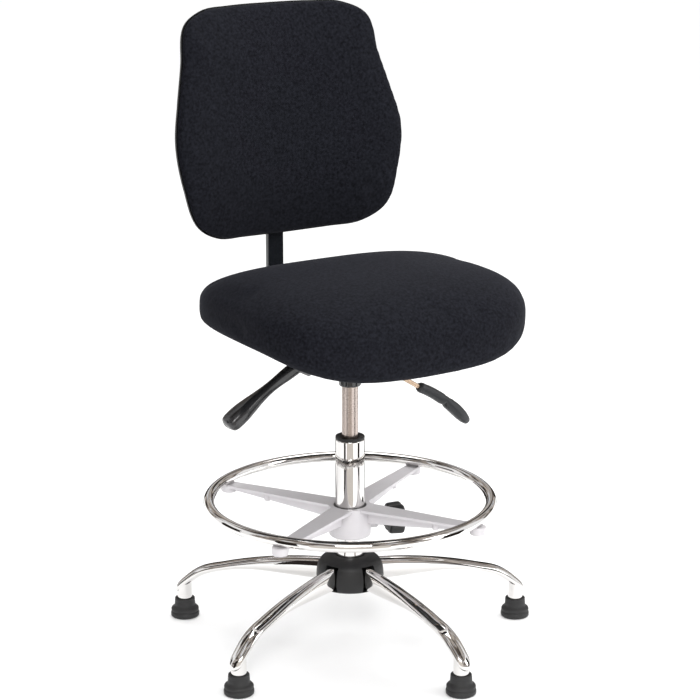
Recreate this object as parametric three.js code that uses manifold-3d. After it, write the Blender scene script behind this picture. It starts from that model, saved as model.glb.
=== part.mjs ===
// Drafting chair: five-legged base on glides, gas lift, footring, tilt mechanism, seat and backrest.
// Units are millimetres. +Z is up, the origin is on the column axis at the floor, the sitter faces -Y.

import * as THREE from 'three';
import { mergeVertices } from 'three/addons/utils/BufferGeometryUtils.js';
import Module from 'manifold-3d';

const wasm = await Module();
wasm.setup();

// ---------------------------------------------------------------- driving dimensions

const CLEARANCE = 0.3; // gap between faces that touch
const RUNNING = 0.3; // radial gap round pins, rods and slides

// base
const LEG_COUNT = 5;
const FIRST_LEG_ANGLE = 57.5; // degrees from +X, seen from above
const GLIDE_CIRCLE_RADIUS = 308;
const LEG_ROOT_HEIGHT = 117; // centre of the leg where it meets the hub
const LEG_TIP_RISE = 7; // tip of the leg above the glide's collar
const LEG_WALL = 2;
const STUB_RADIUS = 13;
const HUB_RADIUS = 33;
const HUB_BOTTOM = 98;
const HUB_TOP = 146;
const COVER_RADIUS = 58;
const COVER_BOTTOM = 96;
const COVER_TOP = 152;
const COVER_ROOF = 4.5;
const GLIDE_HEIGHT = 38;
const GLIDE_FOOT_RADIUS = 25;
const GLIDE_COLLAR_RADIUS = 17.5;
const GLIDE_RECESS_DEPTH = 4;
const STEM_RADIUS = 5;
const STEM_RISE = 10; // the glide's stem above its collar's rim

// column and gas lift
const COLUMN_RADIUS = 25;
const COLUMN_WALL = 1.5;
const COLUMN_BOTTOM = 100;
const COLUMN_TOP = 358;
const BUSH_LENGTH = 58;
const BUSH_FLANGE = 5;
const ROD_RADIUS = 5;
const ROD_TOP = 312;
const PISTON_THICKNESS = 12;
const LIFT_RADIUS = 14;
const LIFT_WALL = 1.6;
const LIFT_BOTTOM = 212;
const LIFT_TOP = 505;
const LIFT_TAPER_START = 465;
const LIFT_TOP_RADIUS = 13.2;
const LIFT_SEAL = 10;
const BUTTON_RADIUS = 4;
const BUTTON_RISE = 8; // button above the gas lift's top

// footring
const RING_RADIUS = 241; // to the centre of its tube
const RING_TUBE_RADIUS = 9;
const RING_TUBE_WALL = 1.5;
const RING_HEIGHT = 250;
const SLEEVE_THICKNESS = 2.7;
const SPIDER_HUB_WALL = 8;
const SPIDER_HUB_HEIGHT = 54;
const SPIDER_ARMS = 4;
const FIRST_ARM_ANGLE = 29.5;
const FLANGE_THICKNESS = 5;
const FLANGE_ROOT_WIDTH = 44;
const FLANGE_TIP_WIDTH = 25;
const WEB_THICKNESS = 7;
const WEB_ROOT_DEPTH = 30;
const WEB_TIP_DEPTH = 9;
const RING_BOSS_RADIUS = 14;
const RING_BOSS_DEPTH = 14;
const RING_SCREW_RADIUS = 3;
const FOOTRING_KNOB_ANGLE = -15.5;
const FOOTRING_KNOB_HEIGHT = 208;
const FOOTRING_KNOB_RADIUS = 28;
const FOOTRING_KNOB_LENGTH = 34;
const CLAMP_BOSS_RADIUS = 13;
const CLAMP_BOSS_LENGTH = 12;
const CLAMP_STUD_RADIUS = 5;
const CLAMP_PAD_RADIUS = 9;
const CLAMP_PAD_THICKNESS = 3;
const CLAMP_TRAVEL = 3;
const FOOTRING_KNOB_GAP = 12; // from the boss to the knob

// mechanism
const HOUSING_HALF_WIDTH = 60;
const HOUSING_WALL = 3;
const HOUSING_FRONT = -84;
const HOUSING_REAR = 96;
const HOUSING_FLOOR_FRONT = 495;
const HOUSING_FLOOR_MIDDLE = 476.5;
const HOUSING_FLOOR_REAR = 465;
const HOUSING_MIDDLE = -10; // where the floor's slope changes
const TAPER_SOCKET_RADIUS = 18.5;
const TAPER_SOCKET_BOTTOM = 452;
const TAPER_SOCKET_TOP = 500;
const PLATE_THICKNESS = 3;
const PLATE_WIDTH = 190;
const PLATE_FRONT = -78;
const PLATE_REAR = 108;
const SEAT_BOLT_RADIUS = 4;
const SEAT_BOLT_SPAN_X = 160;
const SEAT_BOLT_SPAN_Y = 150;

// levers
const LEVER_PLANE = 38; // y of the height lever
const LEVER_PIVOT = [25 - HOUSING_HALF_WIDTH, 500]; // x, z
const LEVER_PIN_RADIUS = 3;
const LEVER_ROOT = [-9 - HOUSING_HALF_WIDTH, 494];
const LEVER_TIP = [-217, 405];
const LEVER_SCREW = [-17 - HOUSING_HALF_WIDTH, 487];
const TANG_WIDTH = 12;
const TANG_THICKNESS = 3;
const LOCK_PLANE = -5; // y of the lock lever
const LOCK_PIVOT = [HOUSING_HALF_WIDTH - 16, 488];
const LOCK_ROD_RADIUS = 4;
const LOCK_GRIP_START = [136, 430];
const LOCK_GRIP_BEND = [186, 400];
const LOCK_TIP = [240, 350];

// back arm and upright
const ARM_PIVOT_Y = 62;
const ARM_PIVOT_Z = 497;
const ARM_PIN_RADIUS = 5;
const ARM_CHEEK = 4;
const ARM_FRONT = 108;
const ARM_REAR = 172;
const UPRIGHT_WIDTH = 31;
const UPRIGHT_THICKNESS = 12;
const UPRIGHT_START = 118;
const UPRIGHT_Y = 246;
const UPRIGHT_LOW_Z = 456.5;
const UPRIGHT_BEND_RADIUS = 30;
const UPRIGHT_LEAN_Z = 700; // where it starts to lean
const UPRIGHT_TOP_Z = 934;
const BACK_LEAN = 8.3; // degrees

// seat
const SEAT_BASE = 551;
const SEAT_CENTRE_Y = -23;
const SEAT_HALF_WIDTH = 246.8;
const SEAT_HALF_DEPTH = 234.2;
const SEAT_THICKNESS = 113.5;
const SEAT_TAPER = 0.047; // share by which the front is wider
const SEAT_CORNERS = 3.24; // superellipse exponent of the plan
const SEAT_TOP_EDGE = 2.8; // superellipse exponent of the edge above its middle
const SEAT_LOW_EDGE = 5; // and below it
const SEAT_FRONT_DROP = 52;
const SEAT_DROP_START = 0.25; // share of the half depth that stays flat
const SEAT_FRONT_FALL = 24;
const SEAT_REAR_FALL = 41;
const BOARD_INSET = 46;
const BOARD_THICKNESS = 12;
const DUST_COVER_THICKNESS = 1.2;

// backrest
const BACK_CENTRE_Y = 238;
const BACK_CENTRE_Z = 869;
const BACK_WRAP = 1.02e-3; // curvature across the width, 1/mm
const BACK_EDGE = 2.6; // superellipse exponent of the edge
const BACK_FRONT_THICKNESS = 34;
const BACK_REAR_THICKNESS = 34;
const BACK_CHANNEL_THICKNESS = 16; // rear thickness behind the upright
const BACK_BOARD_FRONT = -6;
const BACK_BOARD_REAR = 4;
const BACK_BOARD_INSET = 18;
const BACK_SHELL_WALL = 3;
// distance from the backrest's centre to its outline, by angle from straight up
const BACK_OUTLINE = [
  [0, 202.9], [22, 217.2], [36, 238.7], [46, 245.1], [60, 222.7], [78, 214.6],
  [95, 222.9], [115, 232.7], [132, 246.2], [142, 235.1], [155, 210.2], [180, 192.9],
];
const SLIDER_WIDTH = 52;
const SLIDER_WALL = 4;
const SLIDER_LOW_Z = 770;
const SLIDER_HIGH_Z = 880;
const BACK_KNOB_Z = 800;
const BACK_KNOB_RADIUS = 22;
const BACK_KNOB_LENGTH = 28;
const BACK_STUD_RADIUS = 4;
const BACK_KNOB_GAP = 12;

// ---------------------------------------------------------------- materials

function finish(color, roughness, metalness) {
  return new THREE.MeshStandardMaterial({ color, roughness, metalness });
}

const chrome = finish(0xd9dadc, 0.08, 1);
const satinSteel = finish(0xb0a39a, 0.3, 1);
const castAluminium = finish(0xbfc0c2, 0.45, 1);
const zincSteel = finish(0xb9a588, 0.35, 1);
const blackSteel = finish(0x16171a, 0.35, 0.3);
const blackPlastic = finish(0x1c1d1f, 0.55, 0);
const glossyPlastic = finish(0x101112, 0.2, 0);
const greyPlastic = finish(0x3a3d42, 0.45, 0);
const rubber = finish(0x252628, 0.8, 0);
const fabric = finish(0x1b1c24, 0.95, 0);
const plywood = finish(0xb08a5a, 0.7, 0);
const dustCloth = finish(0x151516, 0.95, 0);

// ---------------------------------------------------------------- solids

const MERGE_DISTANCE = 1e-3;
const COARSE = 12;
const ROUND = 24;

const radians = THREE.MathUtils.degToRad;
const lerp = THREE.MathUtils.lerp;

/** Copy of a geometry with positions only, shared corners merged and faces pointing out. */
function closed(geometry) {
  const bare = new THREE.BufferGeometry();
  bare.setAttribute('position', geometry.getAttribute('position').clone());
  bare.setIndex(geometry.index ? geometry.index.clone() : null);
  const merged = mergeVertices(bare, MERGE_DISTANCE);
  const kept = [];
  const index = merged.index.array;
  for (let i = 0; i < index.length; i += 3) {
    const [a, b, c] = [index[i], index[i + 1], index[i + 2]];
    if (a !== b && b !== c && c !== a) kept.push(a, b, c);
  }
  merged.setIndex(kept);
  return volumeOf(merged) < 0 ? flipped(merged) : merged;
}

function volumeOf(geometry) {
  const position = geometry.getAttribute('position');
  const index = geometry.index.array;
  const [a, b, c] = [new THREE.Vector3(), new THREE.Vector3(), new THREE.Vector3()];
  let volume = 0;
  for (let i = 0; i < index.length; i += 3) {
    a.fromBufferAttribute(position, index[i]);
    b.fromBufferAttribute(position, index[i + 1]);
    c.fromBufferAttribute(position, index[i + 2]);
    volume += a.dot(b.cross(c)) / 6;
  }
  return volume;
}

function flipped(geometry) {
  const index = Array.from(geometry.index.array);
  for (let i = 0; i < index.length; i += 3) [index[i], index[i + 1]] = [index[i + 1], index[i]];
  geometry.setIndex(index);
  return geometry;
}

function solidOf(geometry) {
  const shape = closed(geometry);
  const vertProperties = new Float32Array(shape.getAttribute('position').array);
  const triVerts = new Uint32Array(shape.index.array);
  return new wasm.Manifold(new wasm.Mesh({ numProp: 3, vertProperties, triVerts }));
}

function geometryOf(solid) {
  const mesh = solid.getMesh();
  const geometry = new THREE.BufferGeometry();
  geometry.setAttribute('position', new THREE.BufferAttribute(mesh.vertProperties.slice(), 3));
  geometry.setIndex(Array.from(mesh.triVerts));
  return geometry;
}

function join(...geometries) {
  return geometryOf(geometries.map(solidOf).reduce((a, b) => a.add(b)));
}

function cut(geometry, ...tools) {
  return geometryOf(tools.map(solidOf).reduce((a, b) => a.subtract(b), solidOf(geometry)));
}

function overlap(a, b) {
  return geometryOf(solidOf(a).intersect(solidOf(b)));
}

// ---------------------------------------------------------------- shapes

/** Solid of revolution about Z from [radius, height] points. */
function turned(points, segments = ROUND) {
  const profile = points.map(([r, z]) => new THREE.Vector2(r, z));
  return new THREE.LatheGeometry(profile, segments).rotateX(Math.PI / 2);
}

/** Ring of revolution about Z with a rectangular section. */
function ringBlock(inner, outer, low, high, segments = ROUND) {
  return turned([[inner, low], [outer, low], [outer, high], [inner, high], [inner, low]], segments);
}

function rod(radius, low, high, segments = COARSE) {
  return turned([[0, low], [radius, low], [radius, high], [0, high]], segments);
}

function block(x0, x1, y0, y1, z0, z1) {
  const box = new THREE.BoxGeometry(x1 - x0, y1 - y0, z1 - z0);
  return box.translate((x0 + x1) / 2, (y0 + y1) / 2, (z0 + z1) / 2);
}

function shapeOf(points) {
  return new THREE.Shape(points.map(([x, y]) => new THREE.Vector2(x, y)));
}

/** Prism of an outline of [y, z] points, from x0 to x1. */
function prismAlongX(points, x0, x1) {
  const prism = new THREE.ExtrudeGeometry(shapeOf(points), { depth: x1 - x0, bevelEnabled: false });
  const yzx = new THREE.Matrix4().makeBasis(
    new THREE.Vector3(0, 1, 0), new THREE.Vector3(0, 0, 1), new THREE.Vector3(1, 0, 0));
  return prism.applyMatrix4(yzx).translate(x0, 0, 0);
}

/** Prism of an outline of [x, z] points, from y0 to y1. */
function prismAlongY(points, y0, y1) {
  const prism = new THREE.ExtrudeGeometry(shapeOf(points), { depth: y1 - y0, bevelEnabled: false });
  return prism.rotateX(Math.PI / 2).translate(0, y1, 0);
}

/** Prism of an outline of [x, y] points, from z0 to z1. */
function prismAlongZ(points, z0, z1) {
  const prism = new THREE.ExtrudeGeometry(shapeOf(points), { depth: z1 - z0, bevelEnabled: false });
  return prism.translate(0, 0, z0);
}

/** Cylinder along Y, from y0 to y1, centred on x, z. */
function pinAlongY(radius, y0, y1, x, z, segments = COARSE) {
  return rod(radius, y0, y1, segments).rotateX(-Math.PI / 2).translate(x, 0, z);
}

/** Cylinder along X, from x0 to x1, centred on y, z. */
function pinAlongX(radius, x0, x1, y, z, segments = COARSE) {
  return rod(radius, x0, x1, segments).rotateY(Math.PI / 2).translate(0, y, z);
}

/** Closed skin over rings of equally many points, with a flat fan on each end. */
function loft(rings) {
  const sides = rings[0].length;
  const corners = rings.flat();
  const index = [];
  const fan = (ring, start) => {
    corners.push(ring.reduce((sum, p) => sum.add(p), new THREE.Vector3()).divideScalar(sides));
    for (let i = 0; i < sides; i++) index.push(corners.length - 1, start + i, start + ((i + 1) % sides));
  };
  for (let k = 0; k + 1 < rings.length; k++) {
    for (let i = 0; i < sides; i++) {
      const [a, b] = [k * sides + i, k * sides + ((i + 1) % sides)];
      index.push(a, b + sides, b, a, a + sides, b + sides);
    }
  }
  fan(rings[0], 0);
  const last = index.length;
  fan(rings.at(-1), (rings.length - 1) * sides);
  for (let i = last; i < index.length; i += 3) [index[i + 1], index[i + 2]] = [index[i + 2], index[i + 1]];
  const geometry = new THREE.BufferGeometry().setFromPoints(corners);
  geometry.setIndex(index);
  return geometry;
}

function signedPower(value, exponent) {
  return Math.sign(value) * Math.abs(value) ** exponent;
}

/** Superellipse ring: centre, the two unit directions, half sizes along them. */
function superellipse(centre, across, up, halfWidth, halfHeight, exponent, sides) {
  return Array.from({ length: sides }, (_, i) => {
    const angle = (2 * Math.PI * (i + 0.5)) / sides;
    const a = halfWidth * signedPower(Math.cos(angle), 2 / exponent);
    const b = halfHeight * signedPower(Math.sin(angle), 2 / exponent);
    return centre.clone().addScaledVector(across, a).addScaledVector(up, b);
  });
}

/**
 * Bar whose centre line lies in a vertical plane. Each station is [distance, height, width, depth],
 * width across the plane and depth in it.
 */
function planeBar(stations, exponent, sides) {
  const across = new THREE.Vector3(0, 1, 0);
  const line = stations.map(([x, z]) => new THREE.Vector3(x, 0, z));
  return loft(stations.map(([, , width, depth], i) => {
    const before = line[Math.max(i - 1, 0)];
    const after = line[Math.min(i + 1, line.length - 1)];
    const along = after.clone().sub(before).normalize();
    const up = along.clone().cross(across);
    return superellipse(line[i], across, up, width / 2, depth / 2, exponent, sides);
  }));
}

// ---------------------------------------------------------------- placing

const chair = new THREE.Group();

function place(name, geometry, material, parent = chair) {
  const mesh = new THREE.Mesh(closed(geometry), material);
  mesh.name = name;
  parent.add(mesh);
  return mesh;
}

/** Group turned about the column axis by an angle in degrees. */
function spoke(angle) {
  const group = new THREE.Group();
  group.rotation.z = radians(angle);
  chair.add(group);
  return group;
}

// ---------------------------------------------------------------- base

// share of the reach, share of the drop, width, depth
const LEG_STATIONS = [
  [-0.04, 0, 22, 34], [0.084, 0, 22, 35], [0.223, -0.01, 23, 34], [0.387, 0.012, 25, 28],
  [0.551, 0.075, 27, 20], [0.715, 0.205, 28, 15], [0.887, 0.42, 28, 15],
  [0.971, 0.63, 27, 14], [1.026, 0.79, 24, 12.5], [1.055, 0.94, 17, 9.5],
];
const LEG_HOLLOW_STATIONS = 8;
const LEG_EXPONENT = 2.6;
const LEG_SIDES = 8;
const LEG_HOLLOW_SIDES = 6;
const LEG_TIP_HEIGHT = GLIDE_HEIGHT + LEG_TIP_RISE;

function legStations(shrink, count = LEG_STATIONS.length) {
  return LEG_STATIONS.slice(0, count).map(([reach, drop, width, depth]) => [
    lerp(HUB_RADIUS, GLIDE_CIRCLE_RADIUS, reach),
    lerp(LEG_ROOT_HEIGHT, LEG_TIP_HEIGHT, drop),
    width - 2 * shrink,
    depth - 2 * shrink,
  ]);
}

function legSkin(shrink, count, sides = LEG_SIDES) {
  return planeBar(legStations(shrink, count), LEG_EXPONENT, sides);
}

function legGeometry() {
  const stubBottom = GLIDE_HEIGHT - GLIDE_RECESS_DEPTH + CLEARANCE;
  const stub = rod(STUB_RADIUS, stubBottom, LEG_ROOT_HEIGHT).translate(GLIDE_CIRCLE_RADIUS, 0, 0);
  const line = legStations(0).slice(4).map(([r, z]) => [r, z]);
  const outermost = GLIDE_CIRCLE_RADIUS + 2 * STUB_RADIUS;
  const under = [...line, [outermost, LEG_TIP_HEIGHT], [outermost, 0], [line[0][0], 0]];
  const belowLeg = prismAlongY(under, -2 * STUB_RADIUS, 2 * STUB_RADIUS);
  const stemHole = rod(STEM_RADIUS + 2 * CLEARANCE, 0, GLIDE_HEIGHT + STEM_RISE + CLEARANCE);
  return cut(
    join(legSkin(0), overlap(stub, belowLeg)),
    legSkin(LEG_WALL, LEG_HOLLOW_STATIONS, LEG_HOLLOW_SIDES),
    rod(HUB_RADIUS + CLEARANCE, 0, 2 * LEG_ROOT_HEIGHT, ROUND),
    stemHole.translate(GLIDE_CIRCLE_RADIUS, 0, 0),
  );
}

function glideGeometry() {
  const foot = GLIDE_FOOT_RADIUS;
  const collar = GLIDE_COLLAR_RADIUS;
  const recess = STUB_RADIUS + 2 * CLEARANCE;
  const recessFloor = GLIDE_HEIGHT - GLIDE_RECESS_DEPTH;
  const profile = [
    [0, 0], [foot - 2, 0], [foot, 2.5], [foot, 8], [foot - 1.6, 10], [foot - 0.6, 12], [foot - 1, 17],
    [collar + 0.6, 20.5], [collar, GLIDE_HEIGHT], [recess, GLIDE_HEIGHT], [recess, recessFloor],
    [STEM_RADIUS, recessFloor], [STEM_RADIUS, GLIDE_HEIGHT + STEM_RISE], [0, GLIDE_HEIGHT + STEM_RISE],
  ];
  return turned(profile, COARSE).translate(GLIDE_CIRCLE_RADIUS, 0, 0);
}

function buildBase() {
  const columnHole = COLUMN_RADIUS + CLEARANCE;
  place('base_hub_socket', ringBlock(columnHole, HUB_RADIUS, HUB_BOTTOM, HUB_TOP), blackSteel);

  const hubHole = HUB_RADIUS + CLEARANCE;
  const roof = COVER_TOP - COVER_ROOF;
  const shell = turned([
    [columnHole, COVER_TOP], [columnHole, roof], [hubHole, roof], [hubHole, COVER_BOTTOM],
    [COVER_RADIUS - 7, COVER_BOTTOM], [COVER_RADIUS - 1, COVER_BOTTOM + 5],
    [COVER_RADIUS, COVER_BOTTOM + 20], [COVER_RADIUS - 2, COVER_TOP - 18],
    [COVER_RADIUS - 8, COVER_TOP - 7], [COVER_RADIUS - 18, COVER_TOP - 1], [columnHole, COVER_TOP],
  ]);
  const slots = [];
  for (let k = 0; k < LEG_COUNT; k++) {
    const angle = FIRST_LEG_ANGLE + (360 / LEG_COUNT) * k;
    const leg = spoke(angle);
    place(`base_leg_${k + 1}`, legGeometry(), chrome, leg);
    place(`glide_${k + 1}`, glideGeometry(), rubber, leg);
    const [, , width] = LEG_STATIONS[1];
    const half = width / 2 + 2 * CLEARANCE;
    const slot = join(
      legSkin(-2 * CLEARANCE, 4),
      block(HUB_RADIUS, COVER_RADIUS + 10, -half, half, 0, LEG_ROOT_HEIGHT));
    slots.push(slot.rotateZ(radians(angle)));
  }
  place('base_hub_cover', cut(shell, ...slots), blackPlastic);
}

// ---------------------------------------------------------------- column and gas lift

function buildColumn() {
  const bore = COLUMN_RADIUS - COLUMN_WALL;
  const inside = bore - CLEARANCE;
  const rodHole = ROD_RADIUS + RUNNING;
  place('column_tube', ringBlock(bore, COLUMN_RADIUS, COLUMN_BOTTOM, COLUMN_TOP), chrome);

  const liftHole = LIFT_RADIUS + RUNNING;
  const flange = COLUMN_TOP + CLEARANCE;
  place('column_bush', turned([
    [liftHole, COLUMN_TOP - BUSH_LENGTH], [inside, COLUMN_TOP - BUSH_LENGTH], [inside, flange],
    [COLUMN_RADIUS, flange], [COLUMN_RADIUS, flange + BUSH_FLANGE - 1],
    [COLUMN_RADIUS - 2.5, flange + BUSH_FLANGE], [liftHole + 3, flange + BUSH_FLANGE - 1.5],
    [liftHole, flange + BUSH_FLANGE - 3], [liftHole, COLUMN_TOP - BUSH_LENGTH],
  ]), blackPlastic);

  const plate = COLUMN_BOTTOM + 4;
  const bearing = plate + 4 + CLEARANCE;
  const washer = bearing + 4 + CLEARANCE;
  const bumper = washer + 2 + CLEARANCE;
  const clip = plate - CLEARANCE - 3;
  place('column_end_plate', ringBlock(rodHole, inside, plate, plate + 4), blackSteel);
  place('thrust_bearing', ringBlock(rodHole, LIFT_RADIUS, bearing, bearing + 4, COARSE), satinSteel);
  place('bearing_washer', ringBlock(rodHole, LIFT_RADIUS, washer, washer + 2, COARSE), satinSteel);
  place('rubber_bumper', ringBlock(rodHole, LIFT_RADIUS - 3, bumper, bumper + 12, COARSE), rubber);
  place('retaining_clip', ringBlock(rodHole, ROD_RADIUS + 4, clip, clip + 3, COARSE), satinSteel);

  const cavity = LIFT_RADIUS - LIFT_WALL;
  const rodBottom = COLUMN_BOTTOM - 1;
  place('piston_rod', turned([
    [0, rodBottom], [ROD_RADIUS, rodBottom], [ROD_RADIUS, ROD_TOP - PISTON_THICKNESS],
    [cavity - RUNNING, ROD_TOP - PISTON_THICKNESS], [cavity - RUNNING, ROD_TOP], [0, ROD_TOP],
  ], COARSE), satinSteel);

  const buttonHole = BUTTON_RADIUS + RUNNING;
  const cavityTop = LIFT_TAPER_START + 5;
  place('gas_cylinder', turned([
    [rodHole, LIFT_BOTTOM], [LIFT_RADIUS, LIFT_BOTTOM], [LIFT_RADIUS, LIFT_TAPER_START],
    [LIFT_TOP_RADIUS, LIFT_TOP], [buttonHole, LIFT_TOP], [buttonHole, cavityTop], [cavity, cavityTop],
    [cavity, LIFT_BOTTOM + LIFT_SEAL], [rodHole, LIFT_BOTTOM + LIFT_SEAL], [rodHole, LIFT_BOTTOM],
  ]), satinSteel);
  const buttonTop = LIFT_TOP + BUTTON_RISE;
  place('valve_button', turned([
    [0, cavityTop + 8], [BUTTON_RADIUS, cavityTop + 8], [BUTTON_RADIUS, buttonTop - 1],
    [BUTTON_RADIUS - 1, buttonTop], [0, buttonTop],
  ], COARSE), satinSteel);
}

// ---------------------------------------------------------------- footring

const SPIDER_TOP = RING_HEIGHT - RING_TUBE_RADIUS - CLEARANCE;

function spiderArm(hubRadius) {
  const low = SPIDER_TOP - FLANGE_THICKNESS;
  const flange = prismAlongZ([
    [0, -FLANGE_ROOT_WIDTH / 2], [RING_RADIUS, -FLANGE_TIP_WIDTH / 2],
    [RING_RADIUS, FLANGE_TIP_WIDTH / 2], [0, FLANGE_ROOT_WIDTH / 2],
  ], low, SPIDER_TOP);
  const web = prismAlongY([
    [hubRadius - 2, low + 1], [hubRadius - 2, SPIDER_TOP - WEB_ROOT_DEPTH],
    [RING_RADIUS, SPIDER_TOP - WEB_TIP_DEPTH], [RING_RADIUS, low + 1],
  ], -WEB_THICKNESS / 2, WEB_THICKNESS / 2);
  const boss = rod(RING_BOSS_RADIUS, SPIDER_TOP - RING_BOSS_DEPTH, SPIDER_TOP);
  const hole = rod(RING_SCREW_RADIUS + CLEARANCE, 0, RING_HEIGHT, 10);
  return cut(
    join(flange, web, boss.translate(RING_RADIUS, 0, 0)), hole.translate(RING_RADIUS, 0, 0));
}

/** Lobed knob along +X: neck, flared body and a stud hole, from x0 outwards. */
function knobGeometry(radius, length, studRadius, lobes = 6) {
  const neck = length * 0.18;
  const rings = [
    [0, 0.42, 0], [neck, 0.5, 0.2], [neck + 1, 0.94, 1], [length - 5, 1, 1], [length - 1.5, 0.95, 1],
    [length, 0.8, 1],
  ];
  const sides = lobes * 3;
  const body = loft(rings.map(([x, share, depth]) => Array.from({ length: sides }, (_, i) => {
    const angle = (2 * Math.PI * i) / sides;
    const r = radius * share * (1 - 0.06 * depth * (1 - Math.cos(lobes * angle)));
    return new THREE.Vector3(x, r * Math.cos(angle), r * Math.sin(angle));
  })));
  return cut(body, pinAlongX(studRadius + CLEARANCE, -1, length * 0.6, 0, 0));
}

function buildFootring() {
  const sleeveBore = COLUMN_RADIUS + RUNNING;
  const sleeveRadius = sleeveBore + SLEEVE_THICKNESS;
  const hubBore = sleeveRadius + RUNNING;
  const hubRadius = hubBore + SPIDER_HUB_WALL;
  const hubBottom = SPIDER_TOP - SPIDER_HUB_HEIGHT;
  place('footring_sleeve', ringBlock(sleeveBore, sleeveRadius, hubBottom, SPIDER_TOP), greyPlastic);

  const tube = new THREE.TorusGeometry(RING_RADIUS, RING_TUBE_RADIUS, 8, 36);
  const hollow = new THREE.TorusGeometry(RING_RADIUS, RING_TUBE_RADIUS - RING_TUBE_WALL, 6, 36);
  const weep = rod(RING_SCREW_RADIUS, -RING_TUBE_RADIUS - 1, 0, 8).translate(RING_RADIUS, 0, 0);
  const ring = cut(tube, hollow, weep.rotateZ(radians(FIRST_ARM_ANGLE)));
  place('footring_ring', ring.translate(0, 0, RING_HEIGHT), chrome);

  const padRoom = hubBore + CLAMP_PAD_THICKNESS + CLAMP_TRAVEL + 2 * CLEARANCE;
  const bossEnd = hubRadius + CLAMP_BOSS_LENGTH;
  const boss = pinAlongX(CLAMP_BOSS_RADIUS, hubBore + 2, bossEnd, 0, FOOTRING_KNOB_HEIGHT);
  const padHole = pinAlongX(CLAMP_PAD_RADIUS + CLEARANCE, 0, padRoom, 0, FOOTRING_KNOB_HEIGHT);
  const studHole = pinAlongX(CLAMP_STUD_RADIUS + CLEARANCE, 0, bossEnd + 1, 0, FOOTRING_KNOB_HEIGHT);
  const toKnob = radians(FOOTRING_KNOB_ANGLE);
  const arms = [];
  for (let k = 0; k < SPIDER_ARMS; k++) {
    const angle = FIRST_ARM_ANGLE + (360 / SPIDER_ARMS) * k;
    arms.push(spiderArm(hubRadius).rotateZ(radians(angle)));
    const screwTop = RING_HEIGHT - RING_TUBE_RADIUS - CLEARANCE;
    const headTop = SPIDER_TOP - RING_BOSS_DEPTH - CLEARANCE;
    const screw = turned([
      [0, headTop - 3], [5, headTop - 3], [5, headTop], [RING_SCREW_RADIUS, headTop],
      [RING_SCREW_RADIUS, screwTop], [0, screwTop],
    ], 10);
    place(`footring_screw_${k + 1}`, screw.translate(RING_RADIUS, 0, 0), satinSteel, spoke(angle));
  }
  const hub = rod(hubRadius, hubBottom, SPIDER_TOP, ROUND);
  place('footring_spider', cut(
    join(hub, boss.rotateZ(toKnob), ...arms),
    rod(hubBore, 0, RING_HEIGHT, ROUND),
    padHole.rotateZ(toKnob),
    studHole.rotateZ(toKnob),
  ), castAluminium);

  const clamp = spoke(FOOTRING_KNOB_ANGLE);
  const padFace = hubBore + 2 * CLEARANCE;
  const padBack = padFace + CLAMP_PAD_THICKNESS;
  const knobStart = bossEnd + FOOTRING_KNOB_GAP;
  const knobHole = knobStart + FOOTRING_KNOB_LENGTH * 0.6;
  const pad = pinAlongX(CLAMP_PAD_RADIUS, padFace, padBack, 0, FOOTRING_KNOB_HEIGHT);
  place('footring_clamp_pad', pad, greyPlastic, clamp);
  const stud = pinAlongX(
    CLAMP_STUD_RADIUS, padBack + CLEARANCE, knobHole - CLEARANCE, 0, FOOTRING_KNOB_HEIGHT);
  place('footring_clamp_stud', stud, zincSteel, clamp);
  const knob = knobGeometry(FOOTRING_KNOB_RADIUS, FOOTRING_KNOB_LENGTH, CLAMP_STUD_RADIUS);
  place('footring_knob', knob.translate(knobStart, 0, FOOTRING_KNOB_HEIGHT), blackPlastic, clamp);
}

// ---------------------------------------------------------------- mechanism

const PLATE_BOTTOM = SEAT_BASE - CLEARANCE - PLATE_THICKNESS;
const HOUSING_TOP = PLATE_BOTTOM - CLEARANCE;
const PIN_OVERHANG = 4;

function housingProfile(inset) {
  const [front, rear] = [HOUSING_FRONT + inset, HOUSING_REAR + (inset ? 1 : 0)];
  const top = HOUSING_TOP + (inset ? 1 : 0);
  return [
    [front, top], [front, HOUSING_FLOOR_FRONT + 8 + inset], [front + 8, HOUSING_FLOOR_FRONT + inset],
    [HOUSING_MIDDLE, HOUSING_FLOOR_MIDDLE + inset], [rear, HOUSING_FLOOR_REAR + inset], [rear, top],
  ];
}

/** Pair of ears from a side wall, with a pin hole, either side of a plane. */
function ears(wallX, endX, plane, halfGap, pivotX, pivotZ, pinHole) {
  const parts = [-1, 1].map((side) => {
    const near = plane + side * halfGap;
    const far = plane + side * (halfGap + HOUSING_WALL);
    const reach = Math.sign(endX - wallX) * 9;
    return prismAlongY([
      [wallX, pivotZ - 7], [pivotX, pivotZ - 7], [pivotX + reach, pivotZ], [pivotX, pivotZ + 7],
      [wallX, pivotZ + 14],
    ], Math.min(near, far), Math.max(near, far));
  });
  return cut(
    join(...parts.map(closed)), pinAlongY(pinHole, plane - 40, plane + 40, pivotX, pivotZ, 12));
}

function headedPin(radius, headRadius, head, y0, y1, x, z) {
  return turned([
    [0, y0 - head], [headRadius, y0 - head], [headRadius, y0], [radius, y0], [radius, y1], [0, y1],
  ], 12).rotateX(-Math.PI / 2).translate(x, 0, z);
}

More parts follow.
